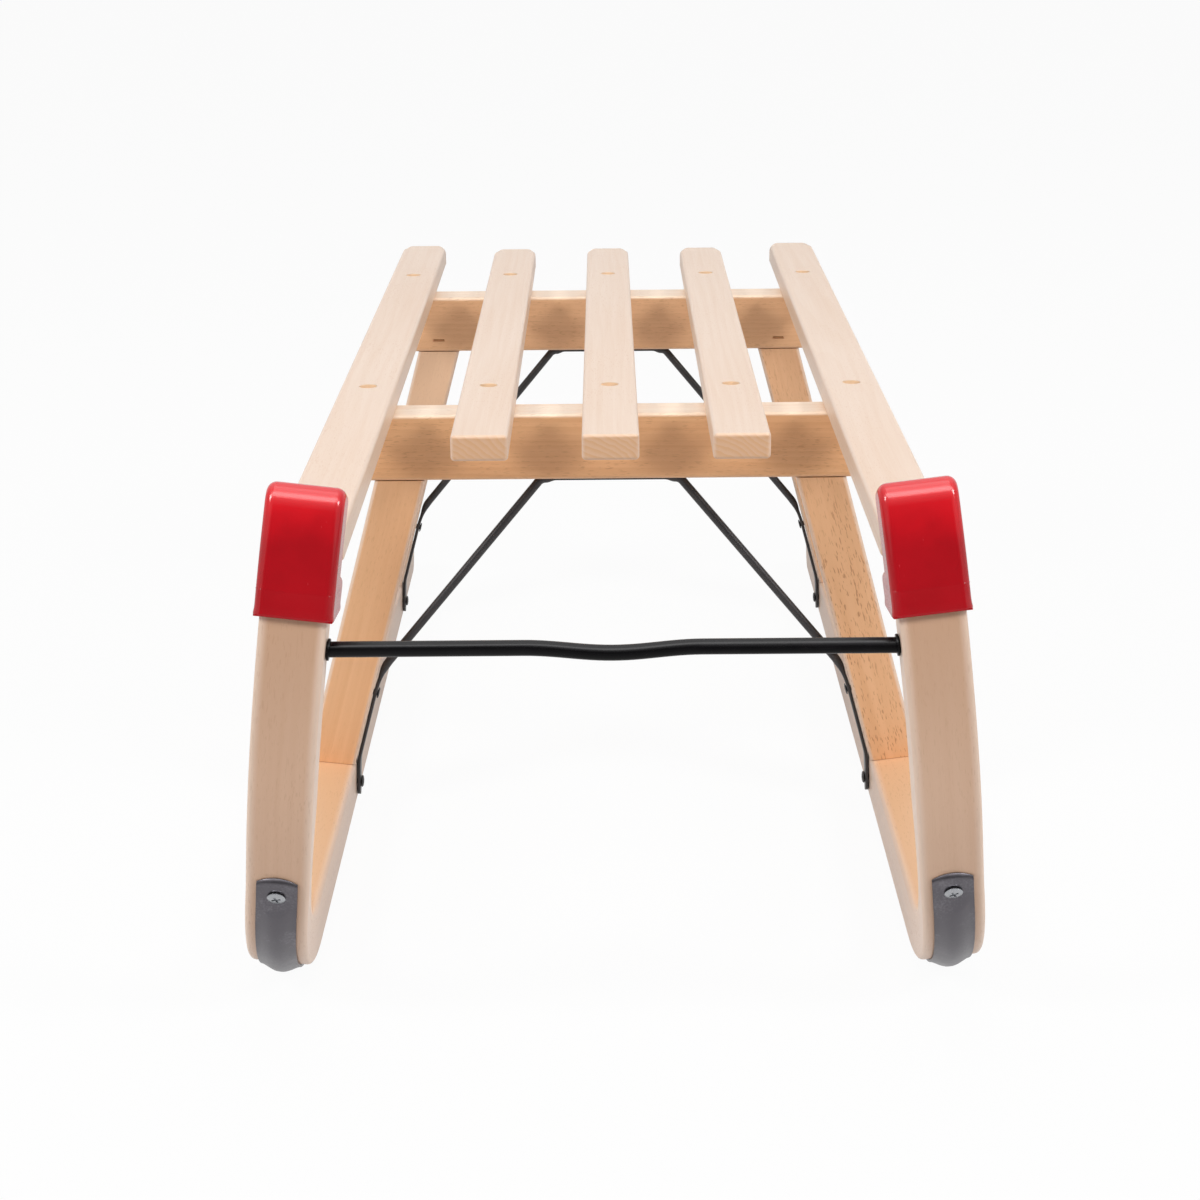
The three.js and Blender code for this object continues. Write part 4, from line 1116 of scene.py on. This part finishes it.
strapSeat = 2 * gap + brace["strapThickness"]
centreSeat = gap + brace["centreThickness"] - screws["centre"]["headHeight"]
shoeScrewSeat = shoe["screwSink"] + screws["shoe"]["headHeight"] + gap - shoe["rise"]
lift = moved(0, 0, gap)
for row in rows:
    y = crossbarYs[row]
    for place, x in slatBoards.items():
        spot = moved(x, y, seat["height"] - counterbore["depth"])
        makeScrew(f"{place}_screw_{row}", "seat", "screw_steel", spot @ lift)
    for side, sign in sides.items():
        spot = moved(sign * brace["centreScrewHalf"], y, crossbarBottom - centreSeat)
        spot = spot @ turned(math.pi, "X")
        makeScrew(f"brace_screw_center_{row}_{side}", "centre", "black_steel", spot)
        onLeg = legPoint(sign, footEdgeDrop - brace["upperScrewRise"], strapSeat)
        spot = moved(onLeg.x, y, onLeg.z) @ turned(-sign * (math.pi / 2 + legTilt), "Y")
        makeScrew(f"brace_screw_leg_{row}_{side}", "brace", "black_steel", spot)
        onRunner = runnerSidePoint(sign, brace["lowerScrewRise"], strapSeat)
        spot = moved(onRunner.x, y, onRunner.z) @ turned(-sign * (math.pi / 2 + sideLean), "Y")
        makeScrew(f"brace_screw_foot_{row}_{side}", "foot", "black_steel", spot)
        makeStaple(row, side)
shoeScrewTilt = turned(math.radians(shoe["screwTiltAngle"]), "X")
horn = screws["horn"]
hornScrewY = station(alongAtDrop(horn["drop"]), 0)[0] + horn["headHeight"] + horn["sink"]
for side, sign in sides.items():
    spot = runnerSpot(sign, flatRun + shoe["screwRun"], shoeScrewSeat) @ lift @ shoeScrewTilt
    makeScrew(f"shoe_screw_front_{side}", "shoe", "screw_steel", spot)
    spot = runnerSpot(sign, shoe["rearScrew"], shoeScrewSeat) @ lift
    makeScrew(f"shoe_screw_rear_{side}", "shoe", "screw_steel", spot)
    spot = moved(sign * seat["railHalfSpan"], hornScrewY, seat["height"] - horn["drop"])
    makeScrew(f"horn_screw_{side}", "horn", "screw_steel", spot @ turned(math.pi / 2, "X") @ lift)
print("screws and staples made")


# Stage: a pale floor, a white world behind and plain soft light

stage = {
    "world": 0.22, "dimGloss": 0.08, "ceiling": 0.9, "walls": 0.6, "softbox": 8,
    "floorTone": tone(222, 222, 222), "floorGlow": 0.95, "floorGloss": 0.8, "floorHalf": 12,
    "glossTone": tone(174, 174, 174), "glossBehind": tone(240, 240, 240), "behindReach": (-0.9, -0.55),
    "aim": (0, 0, 0.15),
}
# Each lamp's place, size and power
lamps = {
    "overhead": ((0.0, 0.0, 2.2), 1.3, 11),
    "left": ((-1.7, -1.3, 1.72), 0.7, 35),
    "right": ((1.7, -1.3, 1.72), 0.7, 35),
}


def makeStage():
    bm = bmesh.new()
    bmesh.ops.create_grid(bm, x_segments=1, y_segments=1, size=stage["floorHalf"])
    mesh = asMesh("floor", bm)
    floor = placed("floor", mesh)
    material, wire = startMaterial("floorPaper")
    plain = wire.node("ShaderNodeBsdfDiffuse", values={"Color": stage["floorTone"]})
    seen = wire.ray("Is Camera Ray")
    # shiny surfaces see a grey floor in front of the sledge and a white one under and behind it
    behind = wire.node("ShaderNodeTexCoord", output="Object").parts()[1].rise(*stage["behindReach"])
    mirrored = wire.blend(behind, stage["glossTone"], stage["glossBehind"])
    white = wire.blend(seen, mirrored, (1, 1, 1, 1))
    glow = wire.node("ShaderNodeEmission", values={"Color": white, "Strength": 1.0})
    shiny = wire.ray("Is Glossy Ray")
    share = (seen * stage["floorGlow"]).higher(shiny * stage["floorGloss"])
    mixed = wire.node("ShaderNodeMixShader", values={0: share, 1: plain, 2: glow})
    wire.node("ShaderNodeOutputMaterial", values={"Surface": mixed})
    mesh.materials.append(material)

    world = bpy.data.worlds.new("studio")
    bpy.context.scene.world = world
    world.use_nodes = True
    world.node_tree.nodes.clear()
    air = Wire(world.node_tree)
    camera = air.ray("Is Camera Ray")
    glossy = air.ray("Is Glossy Ray")
    through = air.ray("Is Transmission Ray")
    # shiny surfaces see a room that is dim low down in front, its ceiling, and a soft box in front above
    heading = air.node("ShaderNodeTexCoord", output="Generated").parts()
    walls = heading[0] * heading[0] * stage["walls"]
    room = (heading[1] * 0.45 + heading[2] + walls).rise(-0.05, 0.15)
    ceiling = heading[2].rise(0.45, 0.8) * stage["ceiling"]
    softbox = heading[2].rise(0.72, 0.86) * (heading[1] * -1).rise(0.05, 0.3) * stage["softbox"]
    shiny = glossy * (room * (1 - stage["dimGloss"]) + ceiling + softbox + stage["dimGloss"])
    shown = camera.higher(shiny).higher(through)
    strength = shown.higher(stage["world"])
    sky = air.node("ShaderNodeBackground", values={"Color": (1, 1, 1, 1), "Strength": strength})
    air.node("ShaderNodeOutputWorld", values={"Surface": sky})

    for name, (place, size, power) in lamps.items():
        data = bpy.data.lights.new(name, "AREA")
        data.shape = "SQUARE"
        data.size = size
        data.energy = power
        aim = Vector(stage["aim"]) - Vector(place)
        facing = aim.to_track_quat("-Z", "Y").to_matrix().to_4x4()
        placed(name, data).matrix_world = moved(*place) @ facing


makeStage()
print("stage set")
